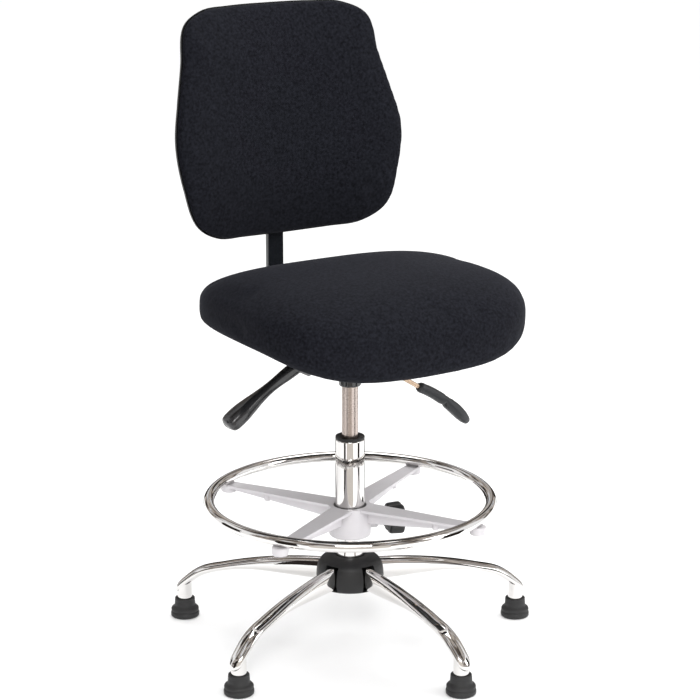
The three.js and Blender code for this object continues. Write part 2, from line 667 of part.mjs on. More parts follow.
function buildMechanism() {
  const half = HOUSING_HALF_WIDTH;
  const inner = half - HOUSING_WALL;
  const socketHole = TAPER_SOCKET_RADIUS + CLEARANCE;
  const leverHole = LEVER_PIN_RADIUS + RUNNING;
  const leverGap = TANG_WIDTH / 2 + 3;
  const armSlot = UPRIGHT_WIDTH / 2 + ARM_CHEEK + 7;
  const pan = join(
    cut(
      prismAlongX(housingProfile(0), -half, half),
      prismAlongX(housingProfile(HOUSING_WALL), -inner, inner)),
    ears(-inner - 1, -half / 2, LEVER_PLANE, leverGap, ...LEVER_PIVOT, leverHole),
    ears(inner + 1, half / 2, LOCK_PLANE, leverGap, ...LOCK_PIVOT, leverHole),
  );
  const [leverRootX, leverRootZ] = LEVER_ROOT;
  const windowZ = lerp(LEVER_PIVOT[1], leverRootZ, (LEVER_PIVOT[0] + half) / (LEVER_PIVOT[0] - leverRootX));
  const window = block(
    -half - 1, -inner + 0.5, LEVER_PLANE - leverGap, LEVER_PLANE + leverGap, windowZ - 9, windowZ + 9);
  const lockNotch = block(
    inner - 10, half + 1, LOCK_PLANE - LOCK_ROD_RADIUS - 2, LOCK_PLANE + LOCK_ROD_RADIUS + 2,
    HOUSING_FLOOR_REAR, LOCK_PIVOT[1] + 6);
  place('mechanism_housing', cut(
    pan, window, lockNotch, rod(socketHole, 0, LIFT_TOP, ROUND),
    block(-armSlot, armSlot, 42, HOUSING_REAR + 2, 0, HOUSING_FLOOR_MIDDLE + HOUSING_WALL),
    pinAlongX(ARM_PIN_RADIUS + CLEARANCE, -half - 1, half + 1, ARM_PIVOT_Y, ARM_PIVOT_Z, 12),
  ), blackSteel);

  const taper = LIFT_RADIUS - LIFT_TOP_RADIUS;
  const share = (TAPER_SOCKET_TOP - LIFT_TAPER_START) / (LIFT_TOP - LIFT_TAPER_START);
  place('taper_socket', turned([
    [LIFT_RADIUS + CLEARANCE, TAPER_SOCKET_BOTTOM], [TAPER_SOCKET_RADIUS - 1.5, TAPER_SOCKET_BOTTOM],
    [TAPER_SOCKET_RADIUS, TAPER_SOCKET_BOTTOM + 2], [TAPER_SOCKET_RADIUS, TAPER_SOCKET_TOP],
    [LIFT_RADIUS - taper * share + CLEARANCE, TAPER_SOCKET_TOP],
    [LIFT_RADIUS + CLEARANCE, LIFT_TAPER_START], [LIFT_RADIUS + CLEARANCE, TAPER_SOCKET_BOTTOM],
  ]), blackSteel);

  const midY = (PLATE_FRONT + PLATE_REAR) / 2;
  const boltHoles = [];
  for (const [k, [sx, sy]] of [[-1, -1], [1, -1], [1, 1], [-1, 1]].entries()) {
    const [x, y] = [(sx * SEAT_BOLT_SPAN_X) / 2, midY + (sy * SEAT_BOLT_SPAN_Y) / 2];
    boltHoles.push(rod(SEAT_BOLT_RADIUS + CLEARANCE, 0, SEAT_BASE + 9, 10).translate(x, y, 0));
    const head = PLATE_BOTTOM - CLEARANCE;
    const bolt = turned([
      [0, head - 4], [7, head - 4], [7, head], [SEAT_BOLT_RADIUS, head],
      [SEAT_BOLT_RADIUS, SEAT_BASE + 8], [0, SEAT_BASE + 8],
    ], 10);
    place(`seat_bolt_${k + 1}`, bolt.translate(x, y, 0), zincSteel);
  }
  const plate = block(
    -PLATE_WIDTH / 2, PLATE_WIDTH / 2, PLATE_FRONT, PLATE_REAR, PLATE_BOTTOM, PLATE_BOTTOM + PLATE_THICKNESS);
  place('seat_plate', cut(plate, ...boltHoles), blackSteel);
  return boltHoles;
}

// ---------------------------------------------------------------- levers

// share of the length, width, depth
const PADDLE_STATIONS = [
  [0, 18, 14], [0.06, 20, 19], [0.22, 18, 18], [0.42, 15, 14], [0.62, 25, 17], [0.8, 37, 22],
  [0.93, 38, 22], [0.985, 32, 17], [1, 22, 11],
];
const GRIP_STATIONS = [
  [0, 0, 12, 12], [0, 0.04, 16, 17], [0, 0.5, 17, 18], [1, 0, 20, 19], [1, 0.5, 22, 21], [1, 0.9, 20, 17],
  [1, 1, 12, 10],
];

function buildLevers() {
  const [rootX, rootZ] = LEVER_ROOT;
  const [tipX, tipZ] = LEVER_TIP;
  const paddle = planeBar(PADDLE_STATIONS.map(([share, width, depth]) => [
    lerp(rootX, tipX, share), lerp(rootZ, tipZ, share), width, depth]), 3.4, COARSE);
  const [screwX, screwZ] = LEVER_SCREW;
  const screwRadius = 2.5;
  const screwHole = pinAlongY(screwRadius + CLEARANCE, -20, -3, screwX, screwZ, 10);
  place('height_lever', cut(paddle, screwHole).translate(0, LEVER_PLANE, 0), glossyPlastic);
  const front = LEVER_PLANE - PADDLE_STATIONS[1][1] / 2;
  const screw = headedPin(
    screwRadius, 4.5, 2.5, front - CLEARANCE, LEVER_PLANE - 4, screwX, screwZ);
  place('height_lever_screw', screw, zincSteel);

  const [pivotX, pivotZ] = LEVER_PIVOT;
  const buttonTop = LIFT_TOP + BUTTON_RISE + 0.8 + TANG_THICKNESS / 2;
  const line = [
    [rootX + 1.5, LEVER_PLANE, rootZ + 0.5], [pivotX, LEVER_PLANE, pivotZ],
    [pivotX / 2, LEVER_PLANE, buttonTop - 2], [pivotX / 4, LEVER_PLANE / 2, buttonTop], [3, -2, buttonTop],
  ].map(([x, y, z]) => new THREE.Vector3(x, y, z));
  const flat = new THREE.Vector3(0, 1, 0);
  const tang = loft(line.map((centre, i) => {
    const along = line[Math.min(i + 1, 4)].clone().sub(line[Math.max(i - 1, 0)]).normalize();
    const up = along.clone().cross(flat).normalize();
    return superellipse(centre, flat, up, TANG_WIDTH / 2, TANG_THICKNESS / 2, 6, 8);
  }));
  const [eyeFront, eyeRear] = [LEVER_PLANE - TANG_WIDTH / 2, LEVER_PLANE + TANG_WIDTH / 2];
  const eye = pinAlongY(LEVER_PIN_RADIUS + 3.5, eyeFront, eyeRear, pivotX, pivotZ, 12);
  const eyeHole = pinAlongY(LEVER_PIN_RADIUS + RUNNING, 0, 2 * LEVER_PLANE, pivotX, pivotZ, 12);
  place('height_lever_tang', cut(join(tang, eye), eyeHole), zincSteel);
  const pinHalf = TANG_WIDTH / 2 + 3 + HOUSING_WALL + CLEARANCE;
  place('height_lever_pin', headedPin(
    LEVER_PIN_RADIUS, 5, 2, LEVER_PLANE - pinHalf, LEVER_PLANE + pinHalf + 1, pivotX, pivotZ), zincSteel);

  const [lockX, lockZ] = LOCK_PIVOT;
  const reachX = LOCK_GRIP_START[0] - lockX;
  const reachZ = LOCK_GRIP_START[1] - lockZ;
  const length = Math.hypot(reachX, reachZ);
  const slope = Math.atan2(-reachZ, reachX);
  const bury = 22; // rod inside the grip
  const shaft = rod(LOCK_ROD_RADIUS, 4, length + bury, 12).rotateY(Math.PI / 2 + slope);
  const lockEye = pinAlongY(LEVER_PIN_RADIUS + 4, -5, 5, 0, 0, 12);
  const lockHole = pinAlongY(LEVER_PIN_RADIUS + RUNNING, -9, 9, 0, 0, 12);
  const lockRod = cut(join(shaft, lockEye), lockHole).translate(lockX, LOCK_PLANE, lockZ);
  place('lock_lever_rod', lockRod, zincSteel);
  place('lock_lever_pin', headedPin(
    LEVER_PIN_RADIUS, 5, 2, LOCK_PLANE - pinHalf, LOCK_PLANE + pinHalf + 1, lockX, lockZ), zincSteel);

  const legs = [[LOCK_GRIP_START, LOCK_GRIP_BEND], [LOCK_GRIP_BEND, LOCK_TIP]];
  const grip = planeBar(GRIP_STATIONS.map(([leg, share, width, depth]) => {
    const [[x0, z0], [x1, z1]] = legs[leg];
    return [lerp(x0, x1, share), lerp(z0, z1, share), width, depth];
  }), 2.6, 12);
  const bore = rod(LOCK_ROD_RADIUS + CLEARANCE, length - 9, length + bury + CLEARANCE, 12);
  const boreLine = bore.rotateY(Math.PI / 2 + slope).translate(lockX, 0, lockZ);
  place('lock_lever_grip', cut(grip, boreLine).translate(0, LOCK_PLANE, 0), greyPlastic);
}

// ---------------------------------------------------------------- back arm and upright

/** Upright's centre line in the YZ plane, as [y, z] points. */
function uprightLine() {
  const bend = UPRIGHT_BEND_RADIUS;
  const steps = 5;
  const points = [[UPRIGHT_START, UPRIGHT_LOW_Z]];
  for (let i = 0; i <= steps; i++) {
    const angle = (Math.PI / 2) * (i / steps);
    points.push([
      UPRIGHT_Y - bend + bend * Math.sin(angle), UPRIGHT_LOW_Z + bend - bend * Math.cos(angle)]);
  }
  points.push([UPRIGHT_Y, UPRIGHT_LEAN_Z - 12], [UPRIGHT_Y + 0.4, UPRIGHT_LEAN_Z]);
  const rise = UPRIGHT_TOP_Z - UPRIGHT_LEAN_Z;
  const lean = Math.tan(radians(BACK_LEAN));
  points.push([UPRIGHT_Y + lean * 12, UPRIGHT_LEAN_Z + 12], [UPRIGHT_Y + lean * rise, UPRIGHT_TOP_Z]);
  return points;
}

/** Frame on the leaning part of the upright: its Z runs up the bar, its origin is at height z. */
function leaningFrame(z) {
  const y = UPRIGHT_Y + Math.tan(radians(BACK_LEAN)) * (z - UPRIGHT_LEAN_Z);
  return new THREE.Matrix4().makeTranslation(0, y, z)
    .multiply(new THREE.Matrix4().makeRotationX(-radians(BACK_LEAN)));
}

function buildBackArm() {
  const barHalf = UPRIGHT_WIDTH / 2 + CLEARANCE;
  const outer = barHalf + ARM_CHEEK;
  const barLow = UPRIGHT_LOW_Z - UPRIGHT_THICKNESS / 2 - CLEARANCE;
  const barHigh = UPRIGHT_LOW_Z + UPRIGHT_THICKNESS / 2 + CLEARANCE;
  const sleeve = cut(
    block(-outer, outer, ARM_FRONT, ARM_REAR, barLow - ARM_CHEEK, barHigh + ARM_CHEEK),
    block(-barHalf, barHalf, ARM_FRONT + ARM_CHEEK, ARM_REAR + 1, barLow, barHigh));
  const cheekOutline = [
    [ARM_PIVOT_Y - 11, ARM_PIVOT_Z - 4], [ARM_PIVOT_Y + 10, ARM_PIVOT_Z - 12],
    [ARM_FRONT - 6, barLow - ARM_CHEEK], [ARM_FRONT + 20, barLow - ARM_CHEEK],
    [ARM_FRONT + 20, barHigh + ARM_CHEEK], [ARM_PIVOT_Y + 16, ARM_PIVOT_Z + 9],
    [ARM_PIVOT_Y, ARM_PIVOT_Z + 12], [ARM_PIVOT_Y - 10, ARM_PIVOT_Z + 7],
  ];
  const cheeks = [-outer, barHalf].map((x) => prismAlongX(cheekOutline, x, x + ARM_CHEEK));
  place('back_arm', cut(
    join(sleeve, ...cheeks),
    pinAlongX(ARM_PIN_RADIUS + RUNNING, -80, 80, ARM_PIVOT_Y, ARM_PIVOT_Z, 12),
  ), blackSteel);
  const pinEnd = HOUSING_HALF_WIDTH + PIN_OVERHANG;
  const pin = pinAlongX(ARM_PIN_RADIUS, -pinEnd, pinEnd, ARM_PIVOT_Y, ARM_PIVOT_Z, 12);
  place('back_pivot_pin', pin, zincSteel);

  const coils = 4;
  const stepsPerCoil = 8;
  const coilRadius = ARM_PIN_RADIUS + 3.2;
  const wire = 1.6;
  const length = 2 * barHalf - 6;
  const steps = coils * stepsPerCoil;
  const spring = loft(Array.from({ length: steps + 1 }, (_, i) => {
    const angle = (2 * Math.PI * i) / stepsPerCoil;
    const out = new THREE.Vector3(0, Math.cos(angle), Math.sin(angle));
    const centre = out.clone().multiplyScalar(coilRadius).setX(lerp(-length / 2, length / 2, i / steps));
    return superellipse(centre, out, new THREE.Vector3(1, 0, 0), wire, wire, 2, 5);
  }));
  place('tilt_spring', spring.translate(0, ARM_PIVOT_Y, ARM_PIVOT_Z), satinSteel);

  const across = new THREE.Vector3(1, 0, 0);
  const line = uprightLine().map(([y, z]) => new THREE.Vector3(0, y, z));
  const upright = loft(line.map((centre, i) => {
    const along = line[Math.min(i + 1, line.length - 1)].clone().sub(line[Math.max(i - 1, 0)]).normalize();
    const normal = along.clone().cross(across);
    return superellipse(centre, across, normal, UPRIGHT_WIDTH / 2, UPRIGHT_THICKNESS / 2, 6, COARSE);
  }));
  place('back_upright', upright, blackSteel);
}

// ---------------------------------------------------------------- seat

function seatDrop(y) {
  const share = (SEAT_CENTRE_Y - y) / SEAT_HALF_DEPTH;
  const past = THREE.MathUtils.clamp((share - SEAT_DROP_START) / (1 - SEAT_DROP_START), 0, 1);
  return SEAT_FRONT_DROP * past ** 2;
}

/** Direction of a sphere's vertex as signed shares along the superellipse axes. */
function sphereShares(point, plan, edge) {
  const level = Math.hypot(point.x, point.y);
  const [c, s] = level > 1e-9 ? [point.x / level, point.y / level] : [1, 0];
  const rho = Math.min(level, 1) ** (2 / edge);
  return {
    ex: signedPower(c, 2 / plan), ey: signedPower(s, 2 / plan), rho, h: signedPower(point.z, 2 / edge),
  };
}

/** Sphere with poles on Z whose vertices are moved by a function of their unit position. */
function sculpted(move, around, up) {
  const sphere = new THREE.SphereGeometry(1, around, up).rotateX(Math.PI / 2);
  const position = sphere.getAttribute('position');
  const point = new THREE.Vector3();
  for (let i = 0; i < position.count; i++) {
    move(point.fromBufferAttribute(position, i));
    position.setXYZ(i, point.x, point.y, point.z);
  }
  return sphere;
}

function seatCushionForm() {
  return sculpted((point) => {
    const edge = point.z < 0 ? SEAT_LOW_EDGE : SEAT_TOP_EDGE;
    const { ex, ey, rho, h } = sphereShares(point, SEAT_CORNERS, edge);
    const front = -ey * rho;
    const x = SEAT_HALF_WIDTH * (1 + SEAT_TAPER * front) * ex * rho;
    const y = SEAT_CENTRE_Y + SEAT_HALF_DEPTH * ey * rho;
    const fall = SEAT_FRONT_FALL * Math.max(front, 0) ** 3 + SEAT_REAR_FALL * Math.max(-front, 0) ** 3;
    const top = SEAT_BASE + SEAT_THICKNESS - fall;
    const bottom = SEAT_BASE - seatDrop(y);
    point.set(x, y, (top + bottom) / 2 + ((top - bottom) / 2) * h);
  }, 28, 14);
}

/** Sheet under the seat: its outline lies inset inside the cushion's, between two depths above the base. */
function seatSheet(inset, low, high) {
  const outline = superellipse(
    new THREE.Vector3(0, SEAT_CENTRE_Y, 0), new THREE.Vector3(1, 0, 0), new THREE.Vector3(0, 1, 0),
    SEAT_HALF_WIDTH - inset, SEAT_HALF_DEPTH - inset, SEAT_CORNERS, 28);
  const plan = outline.map((p) => {
    const front = (SEAT_CENTRE_Y - p.y) / SEAT_HALF_DEPTH;
    return [p.x * (1 + SEAT_TAPER * front), p.y];
  });
  const steps = 12;
  const ys = Array.from({ length: steps + 1 }, (_, i) => lerp(
    SEAT_CENTRE_Y - SEAT_HALF_DEPTH, SEAT_CENTRE_Y - SEAT_DROP_START * SEAT_HALF_DEPTH, i / steps));
  ys.push(SEAT_CENTRE_Y + SEAT_HALF_DEPTH);
  const side = [
    ...ys.map((y) => [y, SEAT_BASE + low - seatDrop(y)]),
    ...ys.toReversed().map((y) => [y, SEAT_BASE + high - seatDrop(y)]),
  ];
  const wide = 2 * SEAT_HALF_WIDTH;
  return overlap(
    prismAlongZ(plan, SEAT_BASE - 2 * SEAT_FRONT_DROP, SEAT_BASE + SEAT_THICKNESS),
    prismAlongX(side, -wide, wide));
}

function buildSeat(boltHoles) {
  const coverLow = CLEARANCE;
  const coverHigh = coverLow + DUST_COVER_THICKNESS;
  const boardLow = coverHigh + CLEARANCE;
  const boardHigh = boardLow + BOARD_THICKNESS;
  place('seat_dust_cover', cut(seatSheet(BOARD_INSET, coverLow, coverHigh), ...boltHoles), dustCloth);
  place('seat_board', cut(seatSheet(BOARD_INSET, boardLow, boardHigh), ...boltHoles), plywood);
  const pocket = seatSheet(BOARD_INSET - 2 * CLEARANCE, -SEAT_FRONT_DROP, boardHigh + CLEARANCE);
  place('seat_cushion', cut(seatCushionForm(), pocket), fabric);
}

// ---------------------------------------------------------------- backrest

/** Smooth curve through the outline's points: distance from the centre at an angle from straight up. */
function backRadius(angle) {
  const folded = Math.min(Math.abs(angle), 2 * Math.PI - Math.abs(angle));
  const degrees = THREE.MathUtils.radToDeg(folded);
  const last = BACK_OUTLINE.length - 1;
  let k = 0;
  while (k < last - 1 && BACK_OUTLINE[k + 1][0] < degrees) k++;
  const slopeAt = (i) => {
    if (i === 0 || i === last) return 0;
    const [before, after] = [BACK_OUTLINE[i - 1], BACK_OUTLINE[i + 1]];
    return (after[1] - before[1]) / (after[0] - before[0]);
  };
  const [a0, r0] = BACK_OUTLINE[k];
  const [a1, r1] = BACK_OUTLINE[k + 1];
  const span = a1 - a0;
  const t = (degrees - a0) / span;
  return (2 * t ** 3 - 3 * t ** 2 + 1) * r0 + (t ** 3 - 2 * t ** 2 + t) * span * slopeAt(k)
    + (3 * t ** 2 - 2 * t ** 3) * r1 + (t ** 3 - t ** 2) * span * slopeAt(k + 1);
}

/** Backrest's frame: X across, Y along its thickness towards the rear, Z up its height. */
function backFrame(geometry) {
  return geometry.rotateX(-radians(BACK_LEAN)).translate(0, BACK_CENTRE_Y, BACK_CENTRE_Z);
}

function rearThickness(x) {
  const t = THREE.MathUtils.clamp((Math.abs(x) - 42) / 70, 0, 1);
  return lerp(BACK_CHANNEL_THICKNESS, BACK_REAR_THICKNESS, t * t * (3 - 2 * t));
}

function backForm(inset) {
  return sculpted((point) => {
    const level = Math.hypot(point.x, point.y);
    const angle = Math.atan2(point.x, point.y);
    const rho = Math.min(level, 1) ** (2 / BACK_EDGE);
    const radius = (backRadius(angle) - inset) * rho;
    const x = radius * Math.sin(angle);
    const share = signedPower(point.z, 2 / BACK_EDGE);
    const thickness = point.z < 0 ? BACK_FRONT_THICKNESS - inset : rearThickness(x) - inset;
    point.set(x, -BACK_WRAP * x * x + thickness * share, radius * Math.cos(angle));
  }, 36, 14);
}

/** Curved sheet that follows the backrest's wrap, between two thicknesses. */
function backSheet(low, high) {
  const steps = 16;
  const wide = 1.2 * Math.max(...BACK_OUTLINE.map(([, r]) => r));
  const xs = Array.from({ length: steps + 1 }, (_, i) => lerp(-wide, wide, i / steps));
  return prismAlongZ([
    ...xs.map((x) => [x, low - BACK_WRAP * x * x]),
    ...xs.toReversed().map((x) => [x, high - BACK_WRAP * x * x]),
  ], -1.2 * wide, 1.2 * wide);
}

function backOutline(inset, low, high) {
  const count = 32;
  const outline = Array.from({ length: count }, (_, i) => {
    const angle = (2 * Math.PI * i) / count;
    const radius = backRadius(angle) - inset;
    return [radius * Math.sin(angle), radius * Math.cos(angle)];
  });
  return prismAlongY(outline, low, high);
}

function buildBackrest() {
  const far = 200;
  const boardOutline = backOutline(BACK_BOARD_INSET, -far, far);
  const board = overlap(boardOutline, backSheet(BACK_BOARD_FRONT, BACK_BOARD_REAR));
  const pocketOutline = backOutline(BACK_BOARD_INSET - 2 * CLEARANCE, -far, far);
  const pocket = overlap(pocketOutline, backSheet(BACK_BOARD_FRONT - CLEARANCE, far));
  const seam = BACK_BOARD_REAR;
  const cushion = cut(overlap(backForm(0), backSheet(-far, seam)), pocket);
  const behind = backSheet(seam + CLEARANCE, far);
  const hollow = overlap(
    backOutline(BACK_BOARD_INSET, -far, far), backForm(BACK_SHELL_WALL));
  const half = SLIDER_WIDTH / 2 + 1;
  const sliderRoom = block(-half, half, BACK_CHANNEL_THICKNESS, far, -far, far);
  const shell = cut(overlap(backForm(0), behind), hollow, sliderRoom);
  place('back_board', backFrame(board), plywood);
  place('back_cushion', backFrame(cushion), fabric);
  place('back_shell', backFrame(shell), blackPlastic);
}

function buildBackSlider() {
  const barX = UPRIGHT_WIDTH / 2 + RUNNING;
  const barY = UPRIGHT_THICKNESS / 2 + RUNNING;
  const rear = barY + 2.5 * SLIDER_WALL;
  const lean = radians(BACK_LEAN);
  const barAtCentre = UPRIGHT_Y + Math.tan(lean) * (BACK_CENTRE_Z - UPRIGHT_LEAN_Z);
  const toShell = (barAtCentre - BACK_CENTRE_Y) * Math.cos(lean) - BACK_CHANNEL_THICKNESS;
  const front = toShell - CLEARANCE;
  const half = (SLIDER_HIGH_Z - SLIDER_LOW_Z) / 2;
  const middle = (SLIDER_HIGH_Z + SLIDER_LOW_Z) / 2;
  const knobUp = (BACK_KNOB_Z - middle) / Math.cos(lean);
  const boss = pinAlongY(12, barY + 1, rear + 6, 0, knobUp);
  const padRoom = pinAlongY(7 + CLEARANCE, 0, barY + 3 + CLAMP_TRAVEL + 2 * CLEARANCE, 0, knobUp);
  const studHole = pinAlongY(BACK_STUD_RADIUS + CLEARANCE, 0, rear + 7, 0, knobUp, 12);
  const slider = cut(
    join(block(-SLIDER_WIDTH / 2, SLIDER_WIDTH / 2, -front, rear, -half, half), boss),
    block(-barX, barX, -barY, barY, -half - 1, half + 1), padRoom, studHole);
  const onBar = leaningFrame(middle);
  place('back_slider', slider.applyMatrix4(onBar), blackPlastic);

  const padFace = barY + CLEARANCE;
  const padBack = padFace + 3;
  const pad = pinAlongY(7, padFace, padBack, 0, knobUp);
  place('back_clamp_pad', pad.applyMatrix4(onBar), greyPlastic);
  const knobStart = rear + 6 + BACK_KNOB_GAP;
  const studEnd = knobStart + BACK_KNOB_LENGTH * 0.6 - CLEARANCE;
  const stud = pinAlongY(BACK_STUD_RADIUS, padBack + CLEARANCE, studEnd, 0, knobUp, 12);
  place('back_clamp_stud', stud.applyMatrix4(onBar), zincSteel);
  const knob = knobGeometry(BACK_KNOB_RADIUS, BACK_KNOB_LENGTH, BACK_STUD_RADIUS);
  knob.rotateZ(Math.PI / 2).translate(0, knobStart, knobUp);
  place('back_knob', knob.applyMatrix4(onBar), blackPlastic);
}

buildBase();
buildColumn();
buildFootring();
const boltHoles = buildMechanism();
buildLevers();
buildBackArm();
buildSeat(boltHoles);
buildBackrest();
buildBackSlider();

export default chair;
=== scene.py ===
"""Drafting chair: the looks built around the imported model.

Shapes are worked out in millimetres in the model's own frame (+Z up, the sitter faces -Y, the origin on the
column's axis at the floor) and become metres when a mesh is made.
"""

import sys
import logging
import math
from collections.abc import Callable, Sequence
from dataclasses import dataclass, field
from enum import Enum

import bmesh
import bpy
import numpy as np
import numpy.typing as npt
from mathutils import Euler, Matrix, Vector


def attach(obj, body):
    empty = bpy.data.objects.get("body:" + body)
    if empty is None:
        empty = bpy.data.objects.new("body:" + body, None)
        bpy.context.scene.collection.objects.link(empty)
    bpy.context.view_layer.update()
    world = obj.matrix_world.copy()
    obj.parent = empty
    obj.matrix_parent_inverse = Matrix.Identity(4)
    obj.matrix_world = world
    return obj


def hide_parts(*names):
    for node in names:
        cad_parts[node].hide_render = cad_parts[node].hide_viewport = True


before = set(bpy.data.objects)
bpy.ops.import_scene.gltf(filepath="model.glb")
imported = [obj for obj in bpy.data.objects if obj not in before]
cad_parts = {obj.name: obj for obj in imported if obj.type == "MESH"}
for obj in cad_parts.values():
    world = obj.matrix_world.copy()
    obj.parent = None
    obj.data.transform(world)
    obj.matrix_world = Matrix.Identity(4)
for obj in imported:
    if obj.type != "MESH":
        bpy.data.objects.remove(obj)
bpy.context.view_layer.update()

Array = npt.NDArray[np.float64]
Socket = bpy.types.NodeSocket

logging.basicConfig(level=logging.INFO, format="%(message)s", stream=sys.stdout)
log = logging.getLogger("drafting_chair")

MM = 0.001
X_AXIS, Y_AXIS, Z_AXIS = np.eye(3)
CREASE = 35.0  # degrees; sharper edges stay sharp, or are rounded
MERGE_DISTANCE = 2e-6  # metres
COLLAPSE_DISTANCE = 1e-7  # metres
FLAT_ANGLE = math.radians(1.5)  # faces that meet at less are one flat face


class Part(str, Enum):
    """The rigid bodies that pieces ride on."""

    BASE = "base"
    SLEEVE = "footring_sleeve"
    FOOTRING = "footring"
    RING_KNOB = "footring_knob"
    CARRIAGE = "carriage"
    HEIGHT_LEVER = "height_lever"
    LOCK_LEVER = "lock_lever"
    BACK_ARM = "back_arm"
    BACK_REST = "back_rest"
    BACK_KNOB = "back_knob"


# ---------------------------------------------------------------- curves and surfaces


def smooth_step(low: float, high: float, x: Array) -> Array:
    """Runs from 0 at low to 1 at high as 3t^2 - 2t^3.

    Args:
        low: where the rise starts.
        high: where it ends; below low, the step falls instead.
        x: where it is wanted.

    Returns:
        Values from 0 to 1, shaped like x.
    """
    t = np.clip((x - low) / (high - low), 0.0, 1.0)
    return t * t * (3.0 - 2.0 * t)


def signed_power(x: Array, exponent: Array | float) -> Array:
    """The size of x raised to a power, with the sign of x kept."""
    return np.sign(x) * np.abs(x) ** exponent


def smooth_through(knots: Array, values: Array, at: Array) -> Array:
    """Cubic through knots: a Hermite curve whose slope at a knot is that of its neighbours' chord.

    Args:
        knots: rising positions, shape (n,).
        values: what the curve passes through, shape (n,) or (n, k).
        at: where the curve is wanted, shape (m,).

    Returns:
        Points of the curve, shape (m,) or (m, k).
    """
    slopes = np.gradient(values, knots, axis=0)
    i = np.clip(np.searchsorted(knots, at, side="right") - 1, 0, len(knots) - 2)
    span = knots[i + 1] - knots[i]
    t = (at - knots[i]) / span
    if values.ndim > 1:
        t, span = t[:, None], span[:, None]
    start = (2 * t**3 - 3 * t**2 + 1) * values[i] + (t**3 - 2 * t**2 + t) * span * slopes[i]
    end = (3 * t**2 - 2 * t**3) * values[i + 1] + (t**3 - t**2) * span * slopes[i + 1]
    return start + end


def with_support_points(profile: Array, near: float = 0.6) -> Array:
    """Adds a point close to each end of every long stretch, so that shading stays flat along it.

    Args:
        profile: points of a line, shape (n, 2).
        near: distance of the added points from the ends.

    Returns:
        The line with its added points.
    """
    length = np.hypot(*np.diff(profile, axis=0).T)
    share = np.where(length > 5 * near, near / np.maximum(length, 1e-9), 0.5)[:, None]
    start, step = profile[:-1], np.diff(profile, axis=0)
    rows = np.stack([start, start + share * step, start + (1 - share) * step], axis=1)
    long_stretch = length > 5 * near
    keep = np.stack([np.full(len(start), True), long_stretch, long_stretch], axis=1)
    return np.concatenate([rows[keep], profile[-1:]])


def revolve(profile: Array, segments: int = 96) -> Array:
    """Surface of revolution about Z: each profile point (r, z) becomes the circle (r cos a, r sin a, z).

    Args:
        profile: points (r, z), shape (n, 2).
        segments: points round each circle.

    Returns:
        Points, shape (n, segments, 3).
    """
    angle = np.linspace(0.0, 2 * np.pi, segments, endpoint=False)
    dense = with_support_points(profile)
    r, z = dense[:, 0][:, None], dense[:, 1][:, None]
    return np.stack([r * np.cos(angle), r * np.sin(angle), z + 0 * angle], axis=-1)


def closed_ring(inner: float, outer: float, low: float, high: float) -> Array:
    """Rectangular profile of a ring as (r, z) points, its first point repeated at the end."""
    return np.array([[inner, low], [outer, low], [outer, high], [inner, high], [inner, low]])


def tube_along(
    path: Array, across: Array, half_width: Array, half_depth: Array, exponent: Array | float, sides: int = 48
) -> Array:
    """Superellipse carried along a plane path: centre + w cos^(2/n) across + d sin^(2/n) up.

    Args:
        path: centre line, shape (n, 3).
        across: unit direction square to the path's plane, shape (3,).
        half_width: half size along across at each path point, shape (n,).
        half_depth: half size along up, which is square to the path and to across, shape (n,).
        exponent: 2 for an ellipse, larger for squarer corners; one value or one for each path point.
        sides: points round the section.

    Returns:
        Points, shape (n, sides, 3).
    """
    tangent = np.gradient(path, axis=0)
    tangent /= np.linalg.norm(tangent, axis=1, keepdims=True)
    up = np.cross(tangent, across)
    angle = np.linspace(0.0, 2 * np.pi, sides, endpoint=False)
    power = 2 / np.broadcast_to(exponent, len(path))[:, None]
    a = signed_power(np.cos(angle)[None, :], power)[..., None]
    b = signed_power(np.sin(angle)[None, :], power)[..., None]
    wide = half_width[:, None, None] * a * across
    deep = half_depth[:, None, None] * b * up[:, None, :]
    return path[:, None, :] + wide + deep


def outline_along(path: Array, outlines: Array, first: Array, second: Array) -> Array:
    """Outline carried along a path: centre + u first + v second.

    Args:
        path: centre line, shape (n, 3).
        outlines: points (u, v) of the outline at each path point, shape (n, m, 2).
        first: unit direction of u, shape (3,) or (n, 3).
        second: unit direction of v, shape (3,) or (n, 3).

    Returns:
        Points, shape (n, m, 3).
    """
    first, second = np.broadcast_to(first, path.shape), np.broadcast_to(second, path.shape)
    u, v = outlines[..., 0][..., None], outlines[..., 1][..., None]
    return path[:, None, :] + u * first[:, None, :] + v * second[:, None, :]


def capped(points: Array) -> Array:
    """The same rows with each end row drawn in to its own middle, which closes both ends."""
    first = np.broadcast_to(points[0].mean(axis=0), points[0].shape)
    last = np.broadcast_to(points[-1].mean(axis=0), points[-1].shape)
    return np.concatenate([first[None], points, last[None]])


def turned_about_z(points: Array, degrees: float) -> Array:
    """The points turned about the Z axis, counterclockwise from above."""
    c, s = math.cos(math.radians(degrees)), math.sin(math.radians(degrees))
    return points @ np.array([[c, s, 0.0], [-s, c, 0.0], [0.0, 0.0, 1.0]])


def laid_along_x(points: Array) -> Array:
    """A surface made round Z, laid down so that its axis runs along +X."""
    return np.stack([points[..., 2], points[..., 0], points[..., 1]], axis=-1)


def laid_along_y(points: Array) -> Array:
    """A surface made round Z, laid down so that its axis runs along +Y."""
    return np.stack([points[..., 1], points[..., 2], points[..., 0]], axis=-1)


def leaned(points: Array, degrees: float, origin: Array) -> Array:
    """The points leaned back about X, so that +Z tips towards +Y, and moved to an origin."""
    c, s = math.cos(math.radians(degrees)), math.sin(math.radians(degrees))
    return points @ np.array([[1.0, 0.0, 0.0], [0.0, c, -s], [0.0, s, c]]) + origin


# ---------------------------------------------------------------- meshes


